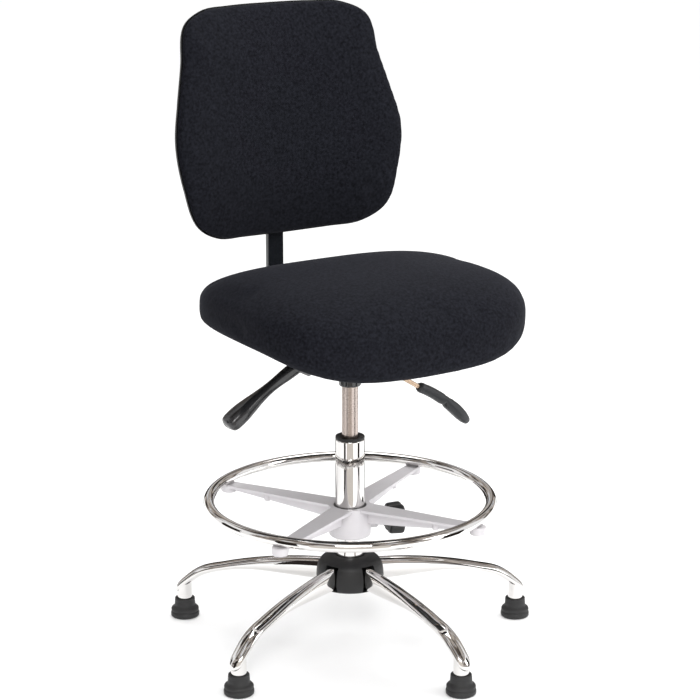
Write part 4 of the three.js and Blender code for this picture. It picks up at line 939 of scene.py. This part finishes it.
@dataclass
class Footring:
    """Chromed ring on a cast spider that is clamped to the column by a knob."""

    ring_radius: float = 241.0
    tube_radius: float = 9.0
    height: float = 250.0
    spider_top: float = 240.7
    hub_bore: float = 28.3
    hub_radius: float = 36.3
    hub_height: float = 54.0
    first_arm: float = 29.5
    arm_count: int = 4
    root_width: float = 44.0
    tip_width: float = 25.0
    flange: float = 5.0
    web: float = 7.0
    root_depth: float = 30.0
    tip_depth: float = 9.0
    knob_angle: float = -15.5
    knob_height: float = 208.0
    boss_end: float = 48.3
    knob_start: float = 60.3
    knob: Knob = field(default_factory=lambda: Knob(28.0, 34.0))

    def ring(self) -> Array:
        """Torus: the tube's circle carried round the ring's circle."""
        around = np.linspace(0, 2 * np.pi, 193)[:, None]
        section = np.linspace(0, 2 * np.pi, 32, endpoint=False)[None, :]
        r = self.ring_radius + self.tube_radius * np.cos(section)
        z = self.height + self.tube_radius * np.sin(section) + 0 * around
        return np.stack([r * np.cos(around), r * np.sin(around), z], axis=-1)

    def arm(self) -> list[Array]:
        """Surfaces of one arm along +X: a T-shaped bar that narrows and thins outwards, and its end boss.

        The T's outline has a flange with lips turned down and a web whose depth falls in a straight line.

        Returns:
            Grids of points.
        """
        s = np.linspace(0, 1, 40)
        x = self.hub_radius - 6 + (self.ring_radius + 4 - self.hub_radius + 6) * s
        share = x / self.ring_radius
        half = 0.5 * (self.root_width + (self.tip_width - self.root_width) * share)
        depth = self.root_depth + (self.tip_depth - self.root_depth) * s
        lip, thick, web = 2.4, self.flange - 1.4, self.web / 2
        columns = [
            (half - 0.8, 0 * s), (half, 0 * s - 0.8), (half, -self.flange + 0 * s),
            (half - lip, -self.flange + 0 * s), (half - lip, -thick + 0 * s),
            (web + 1.6 + 0 * s, -thick + 0 * s),
            (web + 0.3 + 0 * s, -thick - 1.6 + 0 * s), (web - 0.6 + 0 * s, -depth + 0.8),
            (web - 1.4 + 0 * s, -depth), (-web + 1.4 + 0 * s, -depth), (-web + 0.6 + 0 * s, -depth + 0.8),
            (-web - 0.3 + 0 * s, -thick - 1.6 + 0 * s), (-web - 1.6 + 0 * s, -thick + 0 * s),
            (-half + lip, -thick + 0 * s), (-half + lip, -self.flange + 0 * s), (-half, -self.flange + 0 * s),
            (-half, 0 * s - 0.8), (-half + 0.8, 0 * s),
        ]
        outlines = np.stack([np.stack(c, axis=-1) for c in columns], axis=1)
        path = np.column_stack([x, 0 * x, self.spider_top + 0 * x])
        bar = outline_along(path, outlines, Y_AXIS, Z_AXIS)
        t = self.spider_top
        boss = np.array(
            [
                [0, t - 0.3], [12.6, t - 0.3], [14, t - 1.6], [13.6, t - 12.6], [12.6, t - 14], [7, t - 14],
                [7, t - 13], [0, t - 13],
            ]
        )
        lug = revolve(boss, 40) + np.array([self.ring_radius, 0, 0])
        rib_x = self.hub_radius + 0.62 * (self.ring_radius - self.hub_radius)
        rib = np.array([[0, t - 3], [6.2, t - 3], [5.6, t - 18.5], [4.8, t - 19.3], [0, t - 19.3]])
        return [capped(bar), lug, revolve(rib, 24) + np.array([rib_x, 0, 0])]

    def hub(self) -> Array:
        """Turned profile of the spider's clamp hub, its lower edge stepped and rounded."""
        low, high = self.spider_top - self.hub_height, self.spider_top
        b, r = self.hub_bore, self.hub_radius
        profile = np.array(
            [
                [b, low], [r - 2.4, low], [r - 1.2, low + 0.8], [r - 0.6, low + 2.2], [r, low + 8],
                [r, high - 1.8], [r - 0.5, high - 0.6], [r - 1.6, high - 0.2], [b + 0.8, high - 0.2],
                [b, high - 1.0], [b, low],
            ]
        )
        return revolve(profile, 96)

    def clamp_boss(self) -> Array:
        """Turned boss for the clamp stud, laid along +X."""
        end = self.boss_end
        profile = np.array([[5.4, 32], [13, 32], [13, end - 1.5], [11.8, end], [5.4, end], [5.4, 32]])
        return laid_along_x(revolve(profile, 48)) + np.array([0, 0, self.knob_height])

    def screw(self) -> Array:
        """Turned button-head screw under an arm's boss."""
        head = self.spider_top - 14.3
        profile = np.array(
            [
                [0, head - 1.2], [1.8, head - 1.2], [2.0, head - 3.0], [3.2, head - 2.9], [4.4, head - 2.0],
                [5, head - 0.6], [5, head], [3, head], [3, self.spider_top], [0, self.spider_top],
            ]
        )
        return revolve(profile, 32) + np.array([self.ring_radius, 0, 0])

    def build(self) -> None:
        """Makes the ring, spider, screws, sleeve and knob."""
        dress(mesh_of("foot_ring", [self.ring()]), Finish.CHROME, Part.FOOTRING, "footring_ring")
        surfaces = [self.hub(), turned_about_z(self.clamp_boss(), self.knob_angle)]
        for k in range(self.arm_count):
            angle = self.first_arm + 360 / self.arm_count * k
            surfaces += [turned_about_z(s, angle) for s in self.arm()]
            screw = mesh_of(f"ring_screw_{k + 1}", [turned_about_z(self.screw(), angle)])
            dress(screw, Finish.SATIN_STEEL, Part.FOOTRING, f"footring_screw_{k + 1}")
        spider = mesh_of("spider", surfaces, 30)
        dress(spider, Finish.CAST, Part.FOOTRING, "footring_spider")
        liner = closed_ring(25.3, 28.0, self.spider_top - self.hub_height, self.spider_top - 1.2)
        dress(mesh_of("spider_liner", [revolve(liner)]), Finish.GREY, Part.SLEEVE, "footring_sleeve")
        knob = self.knob.surface() + np.array([self.knob_start, 0, self.knob_height])
        knob_piece = mesh_of("ring_knob", [turned_about_z(knob, self.knob_angle)], 40)
        dress(knob_piece, Finish.PLASTIC, Part.RING_KNOB, "footring_knob")
        refinish(Finish.ZINC, "footring_clamp_stud")
        refinish(Finish.GREY, "footring_clamp_pad")


# ---------------------------------------------------------------- mechanism and levers


@dataclass
class Mechanism:
    """Pressed-steel housing under the seat with its plate, pins and spring."""

    edge: float = 1.2
    plate_edge: float = 0.8

    def build(self) -> None:
        """Rounds the housing's and plate's edges and finishes the hidden pieces."""
        housing = softened_copy("mechanism_housing", "tilt_housing", self.edge)
        dress(housing, Finish.PAINT, Part.CARRIAGE, "mechanism_housing")
        plate = softened_copy("seat_plate", "mounting_plate", self.plate_edge)
        dress(plate, Finish.PAINT, Part.CARRIAGE, "seat_plate")
        bolts = tuple(f"seat_bolt_{k}" for k in range(1, 5))
        pins = ("height_lever_pin", "lock_lever_pin", "back_pivot_pin")
        refinish(Finish.ZINC, *bolts, *pins, "height_lever_tang")
        refinish(Finish.SATIN_STEEL, "tilt_spring")


@dataclass
class Levers:
    """Height lever on the sitter's right, lock lever on the left."""

    lever_plane: float = 38.0
    lever_root: tuple[float, float] = (-69.0, 494.0)
    lever_tip: tuple[float, float] = (-217.0, 405.0)
    lever_screw: tuple[float, float] = (-77.0, 487.0)
    lock_plane: float = -5.0
    lock_pivot: tuple[float, float] = (44.0, 488.0)
    grip_line: tuple[tuple[float, float], ...] = (
        (136.0, 430.0), (163.0, 415.5), (186.0, 400.0), (214.0, 377.0), (240.0, 350.0)
    )
    notch_depth: float = 7.0
    notch_share: float = 0.035
    rod_radius: float = 4.0

    def paddle(self) -> Array:
        """Glossy paddle: a superellipse whose width and depth are cubics of the distance from the root."""
        table = np.array(
            [
                [0.0, 10, 8], [0.03, 17, 15], [0.07, 20, 20], [0.14, 20, 21.5], [0.24, 18.5, 21],
                [0.36, 16.2, 18.5], [0.46, 17, 18], [0.58, 22, 20], [0.7, 30, 24], [0.81, 36.5, 27],
                [0.9, 37.6, 27.5],
                [0.955, 36, 25.5], [0.985, 31, 20], [1.0, 20, 11],
            ]
        )
        s = np.linspace(0, 1, 120)
        width, depth = smooth_through(table[:, 0], table[:, 1:], s).T
        a, b = np.array(self.lever_root), np.array(self.lever_tip)
        line = a + (b - a) * s[:, None]
        sag = 4.5 * np.sin(np.pi * s)
        path = np.column_stack([line[:, 0], self.lever_plane + 0 * s, line[:, 1] + sag])
        return capped(tube_along(path, Y_AXIS, width / 2, depth / 2, 2.9, 56))

    def grip(self) -> Array:
        """Moulded grip: bent centre line, a finger notch under its bend, and a rounded end."""
        line = np.array(self.grip_line)
        knots = np.concatenate([[0], np.cumsum(np.hypot(*np.diff(line, axis=0).T))])
        s = np.linspace(0, 1, 130)
        xz = smooth_through(knots, line, s * knots[-1])
        table = np.array(
            [
                [0.0, 12, 13], [0.03, 15.5, 17], [0.1, 16.5, 18], [0.25, 17, 18.5], [0.42, 18, 19],
                [0.6, 21, 20.5], [0.75, 22.5, 21.5], [0.88, 22, 19], [0.95, 19, 15], [0.985, 14, 10.5],
                [1.0, 7, 5],
            ]
        )
        width, depth = smooth_through(table[:, 0], table[:, 1:], s).T
        notch = self.notch_depth * np.exp(-(((s - 0.5) / self.notch_share) ** 2))
        path = np.column_stack([xz[:, 0], self.lock_plane + 0 * s, xz[:, 1] + notch / 2])
        section = tube_along(path, Y_AXIS, width / 2, (depth - notch) / 2, 2.5, 48)
        return capped(section)

    def rod(self) -> Array:
        """Plated rod of the lock lever, with its eye at the pivot."""
        x, z = np.array([self.lock_pivot, self.grip_line[0]]).T
        length = math.hypot(x[1] - x[0], z[1] - z[0])
        t = np.linspace(2, length + 20, 12) / length
        along_x, along_z = x[0] + (x[1] - x[0]) * t, z[0] + (z[1] - z[0]) * t
        path = np.column_stack([along_x, self.lock_plane + 0 * t, along_z])
        r = np.full(len(t), self.rod_radius)
        return capped(tube_along(path, Y_AXIS, r, r, 2.0, 32))

    def rod_eye(self) -> Array:
        """Ring at the rod's pivot, laid along Y."""
        ring = laid_along_y(revolve(closed_ring(3.3, 7.0, -5.0, 5.0), 32))
        return ring + np.array([self.lock_pivot[0], self.lock_plane, self.lock_pivot[1]])

    def screw(self) -> Array:
        """Domed cross-recess screw head on the height lever's front, laid along Y."""
        front = self.lever_plane - 10.0
        profile = np.array(
            [
                [0, -2.2], [1.2, -2.1], [2.6, -1.9], [3.9, -1.2], [4.5, -0.3], [4.5, 0.3], [2.4, 0.3],
                [2.4, 5], [0, 5],
            ]
        )
        x, z = self.lever_screw
        return laid_along_y(revolve(profile, 40)) + np.array([x, front, z])

    def build(self) -> None:
        """Makes both levers."""
        dress(mesh_of("height_paddle", [self.paddle()]), Finish.GLOSS, Part.HEIGHT_LEVER, "height_lever")
        dress(mesh_of("paddle_screw", [self.screw()]), Finish.ZINC, Part.HEIGHT_LEVER, "height_lever_screw")
        dress(mesh_of("lock_grip", [self.grip()]), Finish.GREY, Part.LOCK_LEVER, "lock_lever_grip")
        rod = mesh_of("lock_rod", [self.rod(), self.rod_eye()])
        dress(rod, Finish.ZINC, Part.LOCK_LEVER, "lock_lever_rod")


# ---------------------------------------------------------------- upright


@dataclass
class Upright:
    """Flat steel bar that runs back under the seat, turns up and leans back, with the arm that holds it."""

    width: float = 31.0
    thickness: float = 12.0
    start: float = 118.0
    y: float = 246.0
    low: float = 456.5
    bend: float = 30.0
    lean_from: float = 700.0
    top: float = 934.0
    lean: float = 8.3

    def line(self) -> Array:
        """Centre line: straight back, a quarter circle up, straight, a gentle lean over 24 mm, straight."""
        a = np.linspace(0, np.pi / 2, 24)
        round_y = self.y - self.bend + self.bend * np.sin(a)
        round_z = self.low + self.bend - self.bend * np.cos(a)
        turn = np.column_stack([round_y, round_z])
        lean = self.lean_from
        stretches = (
            (self.low + self.bend + 8, lean - 14, 12), (lean - 12, lean + 12, 9), (lean + 20, self.top, 14)
        )
        z = np.concatenate([np.linspace(*stretch) for stretch in stretches])
        slope = math.tan(math.radians(self.lean))
        past = np.clip((z - self.lean_from + 12) / 24, 0, 1)
        y = self.y + slope * np.where(z < self.lean_from + 12, 12 * past**2, z - self.lean_from)
        yz = np.concatenate([[[self.start, self.low], [150.0, self.low]], turn, np.column_stack([y, z])])
        return np.column_stack([0 * yz[:, 0], yz])

    def bar(self) -> Array:
        """Rounded rectangle carried along the centre line."""
        path = self.line()
        ones = np.ones(len(path))
        return capped(tube_along(path, X_AXIS, ones * self.width / 2, ones * self.thickness / 2, 7.0, 64))

    def build(self) -> None:
        """Makes the bar and the softened arm."""
        dress(mesh_of("back_bar", [self.bar()], 50), Finish.PAINT, Part.BACK_ARM, "back_upright")
        arm = softened_copy("back_arm", "tilt_arm", 1.0)
        dress(arm, Finish.PAINT, Part.BACK_ARM, "back_arm")


# ---------------------------------------------------------------- cushions


HOLD_LEVELS = (0.25, 0.5, 0.75, 1.0)


def hold_level(share: Array) -> Array:
    """A share from 0 to 1 rounded to the nearest level at which cloth can be held."""
    steps = len(HOLD_LEVELS)
    return np.round(steps * share) / steps


@dataclass
class Padding:
    """Turns a plain form into stretched cloth over foam by a short cloth simulation."""

    voxel: float = 5.0
    pressure: float = 4.0
    reach: float = 9.0
    frames: int = 20
    tension: float = 18.0

    def stuff(self, form: bpy.types.Object, held: Callable[[Array], Array]) -> bpy.types.Object:
        """Remeshes a form evenly, blows it up as cloth, caps how far points move, and smooths it once.

        Args:
            form: the slightly small starting form.
            held: given points in metres, the share from 0 to 1 by which each is held in place.

        Returns:
            The same object, its mesh replaced, with no simulation left on it.
        """
        remesh = form.modifiers.new("even", "REMESH")
        remesh.mode = "VOXEL"
        remesh.voxel_size = self.voxel * MM
        self.apply(form)
        start = points_of(form.data)
        group = form.vertex_groups.new(name="held")
        share = held(start)
        for level in HOLD_LEVELS:
            chosen = np.flatnonzero(np.abs(share - level) < HOLD_LEVELS[0] / 2)
            group.add(chosen.tolist(), level, "REPLACE")
        cloth = form.modifiers.new("cloth", "CLOTH")
        settings = cloth.settings
        settings.quality = 6
        settings.mass = 0.35
        settings.tension_stiffness = self.tension
        settings.compression_stiffness = self.tension
        settings.bending_stiffness = 2.5
        settings.use_pressure = True
        settings.uniform_pressure_force = self.pressure
        settings.effector_weights.gravity = 0.0
        settings.vertex_group_mass = "held"
        cloth.collision_settings.use_collision = False
        cloth.collision_settings.use_self_collision = False
        cloth.point_cache.frame_start = 1
        cloth.point_cache.frame_end = self.frames
        for number in range(1, self.frames + 1):
            bpy.context.scene.frame_set(number)
        self.apply(form)
        bpy.context.scene.frame_set(1)
        moved = points_of(form.data) - start
        far = np.linalg.norm(moved, axis=1, keepdims=True)
        limit = self.reach * MM
        eased = limit * np.tanh(far / limit)
        set_points(form.data, start + moved * eased / np.maximum(far, 1e-9))
        form.vertex_groups.clear()
        smooth = form.modifiers.new("even_out", "SMOOTH")
        smooth.factor = 0.5
        smooth.iterations = 4
        self.apply(form)
        fine = form.modifiers.new("fine", "SUBSURF")
        fine.levels = fine.render_levels = 1
        form.data.shade_smooth()
        return form

    @staticmethod
    def apply(piece: bpy.types.Object) -> None:
        """Replaces a piece's mesh by what its modifiers make of it, and removes them."""
        bpy.context.view_layer.update()
        result = bpy.data.meshes.new_from_object(piece.evaluated_get(bpy.context.evaluated_depsgraph_get()))
        piece.modifiers.clear()
        piece.data = result


def points_of(mesh: bpy.types.Mesh) -> Array:
    """A mesh's vertices, shape (n, 3), in metres."""
    co = np.empty(len(mesh.vertices) * 3, np.float32)
    mesh.vertices.foreach_get("co", co)
    return co.reshape(-1, 3).astype(float)


def set_points(mesh: bpy.types.Mesh, points: Array) -> None:
    """Moves a mesh's vertices to the points, in metres."""
    mesh.vertices.foreach_set("co", points.astype(np.float32).ravel())
    mesh.update()


@dataclass
class Seat:
    """Waterfall seat cushion over a plywood board."""

    base: float = 551.0
    centre_y: float = -23.0
    half_width: float = 246.8
    half_depth: float = 234.2
    thickness: float = 113.5
    taper: float = 0.047
    corners: float = 3.24
    top_edge: float = 2.8
    low_edge: float = 5.0
    front_drop: float = 52.0
    drop_start: float = 0.25
    front_fall: float = 24.0
    rear_fall: float = 48.0
    front_power: float = 3.0
    rear_power: float = 2.4
    board_gap: float = 2.5
    shrink: float = 3.0
    padding: Padding = field(default_factory=lambda: Padding(reach=3.5))

    def drop(self, y: Array) -> Array:
        """How far the underside has bent down at y: a parabola that starts a quarter of the way forward."""
        share = (self.centre_y - y) / self.half_depth
        past = np.clip((share - self.drop_start) / (1 - self.drop_start), 0, 1)
        return self.front_drop * past**2

    def form(self) -> Array:
        """Closed cushion form.

        A superellipsoid: its plan is a superellipse that widens forwards, its edge profile has one exponent
        above the middle and a squarer one below, the top falls as powers towards the front and the rear, and
        the underside bends down at the front.

        Returns:
            A grid of points from the lower pole to the upper.
        """
        v = np.linspace(-np.pi / 2, np.pi / 2, 90)[:, None]
        u = np.linspace(0, 2 * np.pi, 180, endpoint=False)[None, :]
        level, rise = np.clip(np.cos(v), 0, 1), np.sin(v)
        edge = np.where(rise < 0, self.low_edge, self.top_edge)
        rho = level ** (2 / edge)
        h = np.sign(rise) * np.abs(rise) ** (2 / edge)
        ex = signed_power(np.cos(u), 2 / self.corners)
        ey = signed_power(np.sin(u), 2 / self.corners)
        front = -ey * rho
        x = self.half_width * (1 + self.taper * front) * ex * rho
        y = self.centre_y + self.half_depth * ey * rho
        front_fall = self.front_fall * np.clip(front, 0, 1) ** self.front_power
        rear_fall = self.rear_fall * np.clip(-front, 0, 1) ** self.rear_power
        top = self.base + self.thickness - self.shrink - (front_fall + rear_fall)
        bottom = self.base + self.board_gap - self.drop(y)
        return np.stack([x, y, (top + bottom) / 2 + (top - bottom) / 2 * h], axis=-1)

    def held(self, points: Array) -> Array:
        """Share by which cloth is held: fully on the underside, where it is stapled to the board."""
        mm = points / MM
        above = mm[:, 2] - (self.base - self.drop(mm[:, 1]))
        return hold_level(1 - smooth_step(6.0, 26.0, above))

    def build(self) -> None:
        """Makes the cushion and finishes the board and dust cover."""
        cushion = self.padding.stuff(mesh_of("seat_pad", [self.form()]), self.held)
        dress(cushion, Finish.FABRIC, Part.CARRIAGE, "seat_cushion")
        refinish(Finish.PLYWOOD, "seat_board")
        refinish(Finish.DUST, "seat_dust_cover")


@dataclass
class Backrest:
    """Contoured backrest: front cushion, moulded rear shell, height slider and clamp knob."""

    centre_y: float = 238.0
    centre_z: float = 869.0
    lean: float = 8.3
    wrap: float = 1.02e-3
    edge: float = 2.6
    front: float = 34.0
    rear: float = 34.0
    channel: float = 16.0
    channel_sides: tuple[float, float] = (42.0, 112.0)
    slider_height: float = 825.0
    knob_height: float = 800.0
    knob_gap: float = 34.3
    seam: float = 4.0
    shrink: float = 2.5
    outline: Array = field(
        default_factory=lambda: np.array(
            [
                [0, 202.9], [22, 217.2], [36, 240.7], [46, 249.1], [60, 223.2], [78, 214.6],
                [95, 223.9], [115, 234.7], [132, 249.2], [142, 237.6], [155, 211.2], [180, 192.9],
            ]
        )
    )
    knob: Knob = field(default_factory=lambda: Knob(22.0, 28.0))
    bar: Upright = field(default_factory=Upright)
    padding: Padding = field(default_factory=lambda: Padding(voxel=4.5, reach=3.0))

    def radius(self, angle: Array) -> Array:
        """Distance from the centre to the outline, a cubic through its points, mirrored left to right."""
        angle_next, radius_next = self.outline[-2]
        before, past = [[angle_next - 360, radius_next]], [[360 - angle_next, radius_next]]
        mirrored = np.concatenate([before, self.outline[1:][::-1] * [-1, 1], self.outline, past])
        folded = (np.degrees(angle) + 180) % 360 - 180
        flat = smooth_through(mirrored[:, 0], mirrored[:, 1], folded.ravel())
        return flat.reshape(angle.shape)

    def surface(self, inset: float, front: float, rear: Callable[[Array], Array] | float) -> Array:
        """Closed form wrapped round the sitter.

        From the middle surface y = -k x^2, the form stands out by its front or rear thickness times a
        superellipse of the distance from the centre, as a share of the outline's radius.

        Args:
            inset: how far the outline is drawn in.
            front: thickness in front of the middle surface.
            rear: thickness behind it, or a function of x that gives it.

        Returns:
            A grid of points in the backrest's own frame, X across, Y to the rear, Z up.
        """
        v = np.linspace(-np.pi / 2, np.pi / 2, 84)[:, None]
        a = np.linspace(0, 2 * np.pi, 180, endpoint=False)[None, :]
        rho = np.clip(np.cos(v), 0, 1) ** (2 / self.edge)
        r = (self.radius(a) - inset) * rho
        x, z = r * np.sin(a), r * np.cos(a)
        share = np.sign(np.sin(v)) * np.abs(np.sin(v)) ** (2 / self.edge)
        behind = rear(x) if callable(rear) else rear
        y = -self.wrap * x**2 + share * np.where(share < 0, front, behind)
        return np.stack([x, y, z], axis=-1)

    def rear_depth(self, x: Array) -> Array:
        """Depth of the shell behind the middle surface: shallow where the bar runs, deep at both sides."""
        return self.channel + (self.rear - self.channel) * smooth_step(*self.channel_sides, np.abs(x))

    def placed(self, points: Array) -> Array:
        """Points of the backrest's own frame, leaned and moved to its place."""
        return leaned(points, self.lean, np.array([0.0, self.centre_y, self.centre_z]))

    def held(self, points: Array) -> Array:
        """Share by which cloth is held: fully at the rear edge, where it meets the shell."""
        c, s = math.cos(math.radians(self.lean)), math.sin(math.radians(self.lean))
        y, z = points[:, 1] / MM - self.centre_y, points[:, 2] / MM - self.centre_z
        depth = y * c - z * s + self.wrap * (points[:, 0] / MM) ** 2
        return hold_level(smooth_step(-14.0, 0.0, depth))

    def bar_point(self, z: float) -> Array:
        """Point of the upright's centre line at a height on its leaning part."""
        return np.array([0.0, self.bar.y + math.tan(math.radians(self.lean)) * (z - self.bar.lean_from), z])

    def build(self) -> None:
        """Makes the cushion, shell, slider and knob, and finishes the board and clamp."""
        form = self.placed(self.surface(0.5, self.front - self.shrink, self.seam - 0.5))
        cushion = self.padding.stuff(mesh_of("back_pad", [form]), self.held)
        dress(cushion, Finish.FABRIC, Part.BACK_REST, "back_cushion")
        hollow = self.placed(self.surface(0.0, -self.seam - 0.4, self.rear_depth))
        shell = mesh_of("rear_shell", [hollow], 50)
        dress(shell, Finish.PLASTIC, Part.BACK_REST, "back_shell")
        slider = softened_copy("back_slider", "height_slider", 1.2)
        dress(slider, Finish.PLASTIC, Part.BACK_REST, "back_slider")
        up = (self.knob_height - self.slider_height) / math.cos(math.radians(self.lean))
        knob = turned_about_z(self.knob.surface(), 90.0) + np.array([0.0, self.knob_gap, up])
        piece = mesh_of("height_knob", [leaned(knob, self.lean, self.bar_point(self.slider_height))], 40)
        dress(piece, Finish.PLASTIC, Part.BACK_KNOB, "back_knob")
        refinish(Finish.PLYWOOD, "back_board")
        refinish(Finish.GREY, "back_clamp_pad")
        refinish(Finish.ZINC, "back_clamp_stud")


# ---------------------------------------------------------------- studio


@dataclass
class Studio:
    """Pale floor, soft lights, dark flags that only reflections see, and the camera."""

    distance: float = 3.680
    height: float = 1.498
    azimuth: float = -32.5
    pitch: float = 14.98
    lens: float = 116.64
    sensor: float = 36.0
    flag_gap: float = 0.004

    @staticmethod
    def card(name: str, corners: Sequence[Array], material: bpy.types.Material) -> bpy.types.Object:
        """A flat card with four corners in metres.

        Args:
            name: its name.
            corners: its corners in order round it.
            material: its material.

        Returns:
            The card.
        """
        mesh = bpy.data.meshes.new(name)
        mesh.from_pydata([tuple(corner) for corner in corners], [], [(0, 1, 2, 3)])
        mesh.materials.append(material)
        card = bpy.data.objects.new(name, mesh)
        bpy.context.scene.collection.objects.link(card)
        return card

    def upright_corners(
        self, bearing: float, distance: float, width: float, low: float, high: float
    ) -> list[Array]:
        """Corners of an upright card that is square to a line from the column.

        Args:
            bearing: degrees round the column from the camera's side, to the camera's right when positive.
            distance: from the column's axis, in metres.
            width: its width in metres.
            low: its lower edge above the floor in metres.
            high: its upper edge above the floor in metres.

        Returns:
            Four corners in order round the card.
        """
        turn = math.radians(self.azimuth + bearing)
        out = np.array([math.sin(turn), -math.cos(turn), 0.0]) * distance
        side = np.array([math.cos(turn), math.sin(turn), 0.0]) * width / 2
        bottom, top = low * Z_AXIS, high * Z_AXIS
        return [out - side + bottom, out + side + bottom, out + side + top, out - side + top]

    def floor(self) -> None:
        """A wide pale floor."""
        half = 40.0
        g = Graph("floor_paper")
        g.set(Roughness=0.8, Specular_IOR_Level=0.1)
        g.drive("Base Color", g.blend(g.noise(3.0), (0.93, 0.93, 0.93), (0.95, 0.95, 0.95)))
        corners = [(-half, -half, 0), (half, -half, 0), (half, half, 0), (-half, half, 0)]
        self.card("floor", corners, g.material)

    def flag(self, name: str, corners: Sequence[Array], shade: tuple[float, float, float]) -> None:
        """A glowing card that only mirror-like surfaces see.

        Args:
            name: its name.
            corners: its corners in metres.
            shade: its colour.
        """
        material = bpy.data.materials.new(name)
        material.use_nodes = True
        tree = material.node_tree
        glow = tree.nodes.new("ShaderNodeEmission")
        glow.inputs["Color"].default_value = (*shade, 1.0)
        tree.links.new(glow.outputs["Emission"], tree.nodes["Material Output"].inputs["Surface"])
        card = self.card(name, corners, material)
        card.visible_camera = False
        card.visible_diffuse = False
        card.visible_shadow = False
        card.visible_transmission = False

    def shade_card(self) -> None:
        """A black board at the left that takes light from that side, unseen by the camera and by mirrors."""
        g = Graph("shade_card")
        g.set(Roughness=1.0, Specular_IOR_Level=0.0)
        g.drive("Base Color", g.blend(g.noise(4.0), (0.01, 0.01, 0.01), (0.02, 0.02, 0.02)))
        card = self.card("shade_card", self.upright_corners(-88.0, 0.6, 1.24, 0.42, 1.35), g.material)
        card.visible_camera = False
        card.visible_glossy = False

    def room(self) -> None:
        """World light: even white for matt surfaces, a brownish room with soft blotches for shiny ones."""
        world = bpy.data.worlds.new("studio")
        world.use_nodes = True
        tree = world.node_tree
        white = tree.nodes["Background"]
        white.inputs["Color"].default_value = (1.0, 1.0, 1.0, 1.0)
        white.inputs["Strength"].default_value = 1.1
        place = tree.nodes.new("ShaderNodeTexCoord")
        noise = tree.nodes.new("ShaderNodeTexNoise")
        noise.inputs["Scale"].default_value = 4.2
        noise.inputs["Detail"].default_value = 3.0
        ramp = tree.nodes.new("ShaderNodeValToRGB")
        stops = ((0.36, (0.02, 0.02, 0.022)), (0.45, (0.16, 0.13, 0.11)), (0.52, (0.62, 0.56, 0.5)),
                 (0.58, (0.3, 0.31, 0.34)), (0.65, (0.95, 0.96, 0.98)))
        while len(ramp.color_ramp.elements) < len(stops):
            ramp.color_ramp.elements.new(0.5)
        for element, (position, colour) in zip(ramp.color_ramp.elements, stops):
            element.position = position
            element.color = (*colour, 1.0)
        dim = tree.nodes.new("ShaderNodeBackground")
        rays = tree.nodes.new("ShaderNodeLightPath")
        mix = tree.nodes.new("ShaderNodeMixShader")
        tree.links.new(place.outputs["Generated"], noise.inputs["Vector"])
        tree.links.new(noise.outputs["Fac"], ramp.inputs["Fac"])
        tree.links.new(ramp.outputs["Color"], dim.inputs["Color"])
        tree.links.new(rays.outputs["Is Glossy Ray"], mix.inputs["Fac"])
        tree.links.new(white.outputs["Background"], mix.inputs[1])
        tree.links.new(dim.outputs["Background"], mix.inputs[2])
        tree.links.new(mix.outputs["Shader"], tree.nodes["World Output"].inputs["Surface"])
        bpy.context.scene.world = world

    def lamp(self, name: str, place: tuple[float, float, float], size: float, power: float) -> None:
        """A square soft light that faces the seat.

        Args:
            name: its name.
            place: where it hangs, in metres.
            size: its side in metres.
            power: its power in watts.
        """
        light = bpy.data.lights.new(name, "AREA")
        light.size = size
        light.energy = power
        lamp = bpy.data.objects.new(name, light)
        lamp.location = place
        aim = Vector((0.0, 0.0, 0.55)) - Vector(place)
        lamp.rotation_euler = aim.to_track_quat("-Z", "Y").to_euler()
        bpy.context.scene.collection.objects.link(lamp)

    def camera(self) -> None:
        """The camera, at its distance and height, turned to the column's axis."""
        data = bpy.data.cameras.new("camera")
        data.sensor_width = self.sensor
        data.lens = self.lens
        camera = bpy.data.objects.new("camera", data)
        a = math.radians(self.azimuth)
        camera.location = (self.distance * math.sin(a), -self.distance * math.cos(a), self.height)
        camera.rotation_euler = Euler((math.radians(90 - self.pitch), 0.0, a))
        bpy.context.scene.collection.objects.link(camera)
        bpy.context.scene.camera = camera

    def build(self) -> None:
        """Sets up the whole studio."""
        bpy.context.scene.view_settings.view_transform = "Standard"
        self.room()
        self.shade_card()
        self.floor()
        self.camera()
        self.lamp("key", (-1.6, -2.8, 2.4), 1.6, 60.0)
        self.lamp("fill", (2.4, -2.4, 1.6), 1.8, 40.0)
        self.lamp("top", (0.4, 0.6, 3.2), 2.2, 46.0)
        dark, brown, pale = (0.025, 0.02, 0.018), (0.74, 0.69, 0.64), (1.0, 1.0, 1.01)
        flags = (
            ("flag_left_strip", -40.0, 0.62, 0.16, 0.34, dark),
            ("flag_right_strip", 70.0, 0.62, 0.2, 0.34, dark),
            ("flag_middle", 0.0, 0.68, 0.66, 0.4, brown),
            ("reflector_left", -98.0, 2.0, 1.5, 1.7, pale),
            ("reflector_right", 98.0, 2.0, 1.5, 1.7, pale),
            ("flag_behind", 180.0, 0.66, 1.0, 0.34, dark),
            ("flag_far_left", -95.0, 1.3, 0.5, 0.6, dark),
        )
        for name, bearing, distance, width, height, shade in flags:
            low = self.flag_gap
            self.flag(name, self.upright_corners(bearing, distance, width, low, low + height), shade)


def main() -> None:
    """Builds the studio and the chair."""
    parts = (Studio(), StarBase(), Column(), Footring(), Mechanism(), Levers(), Upright(), Seat(), Backrest())
    for part in parts:
        part.build()
        log.info("%s built", type(part).__name__)


if __name__ == "__main__":
    main()
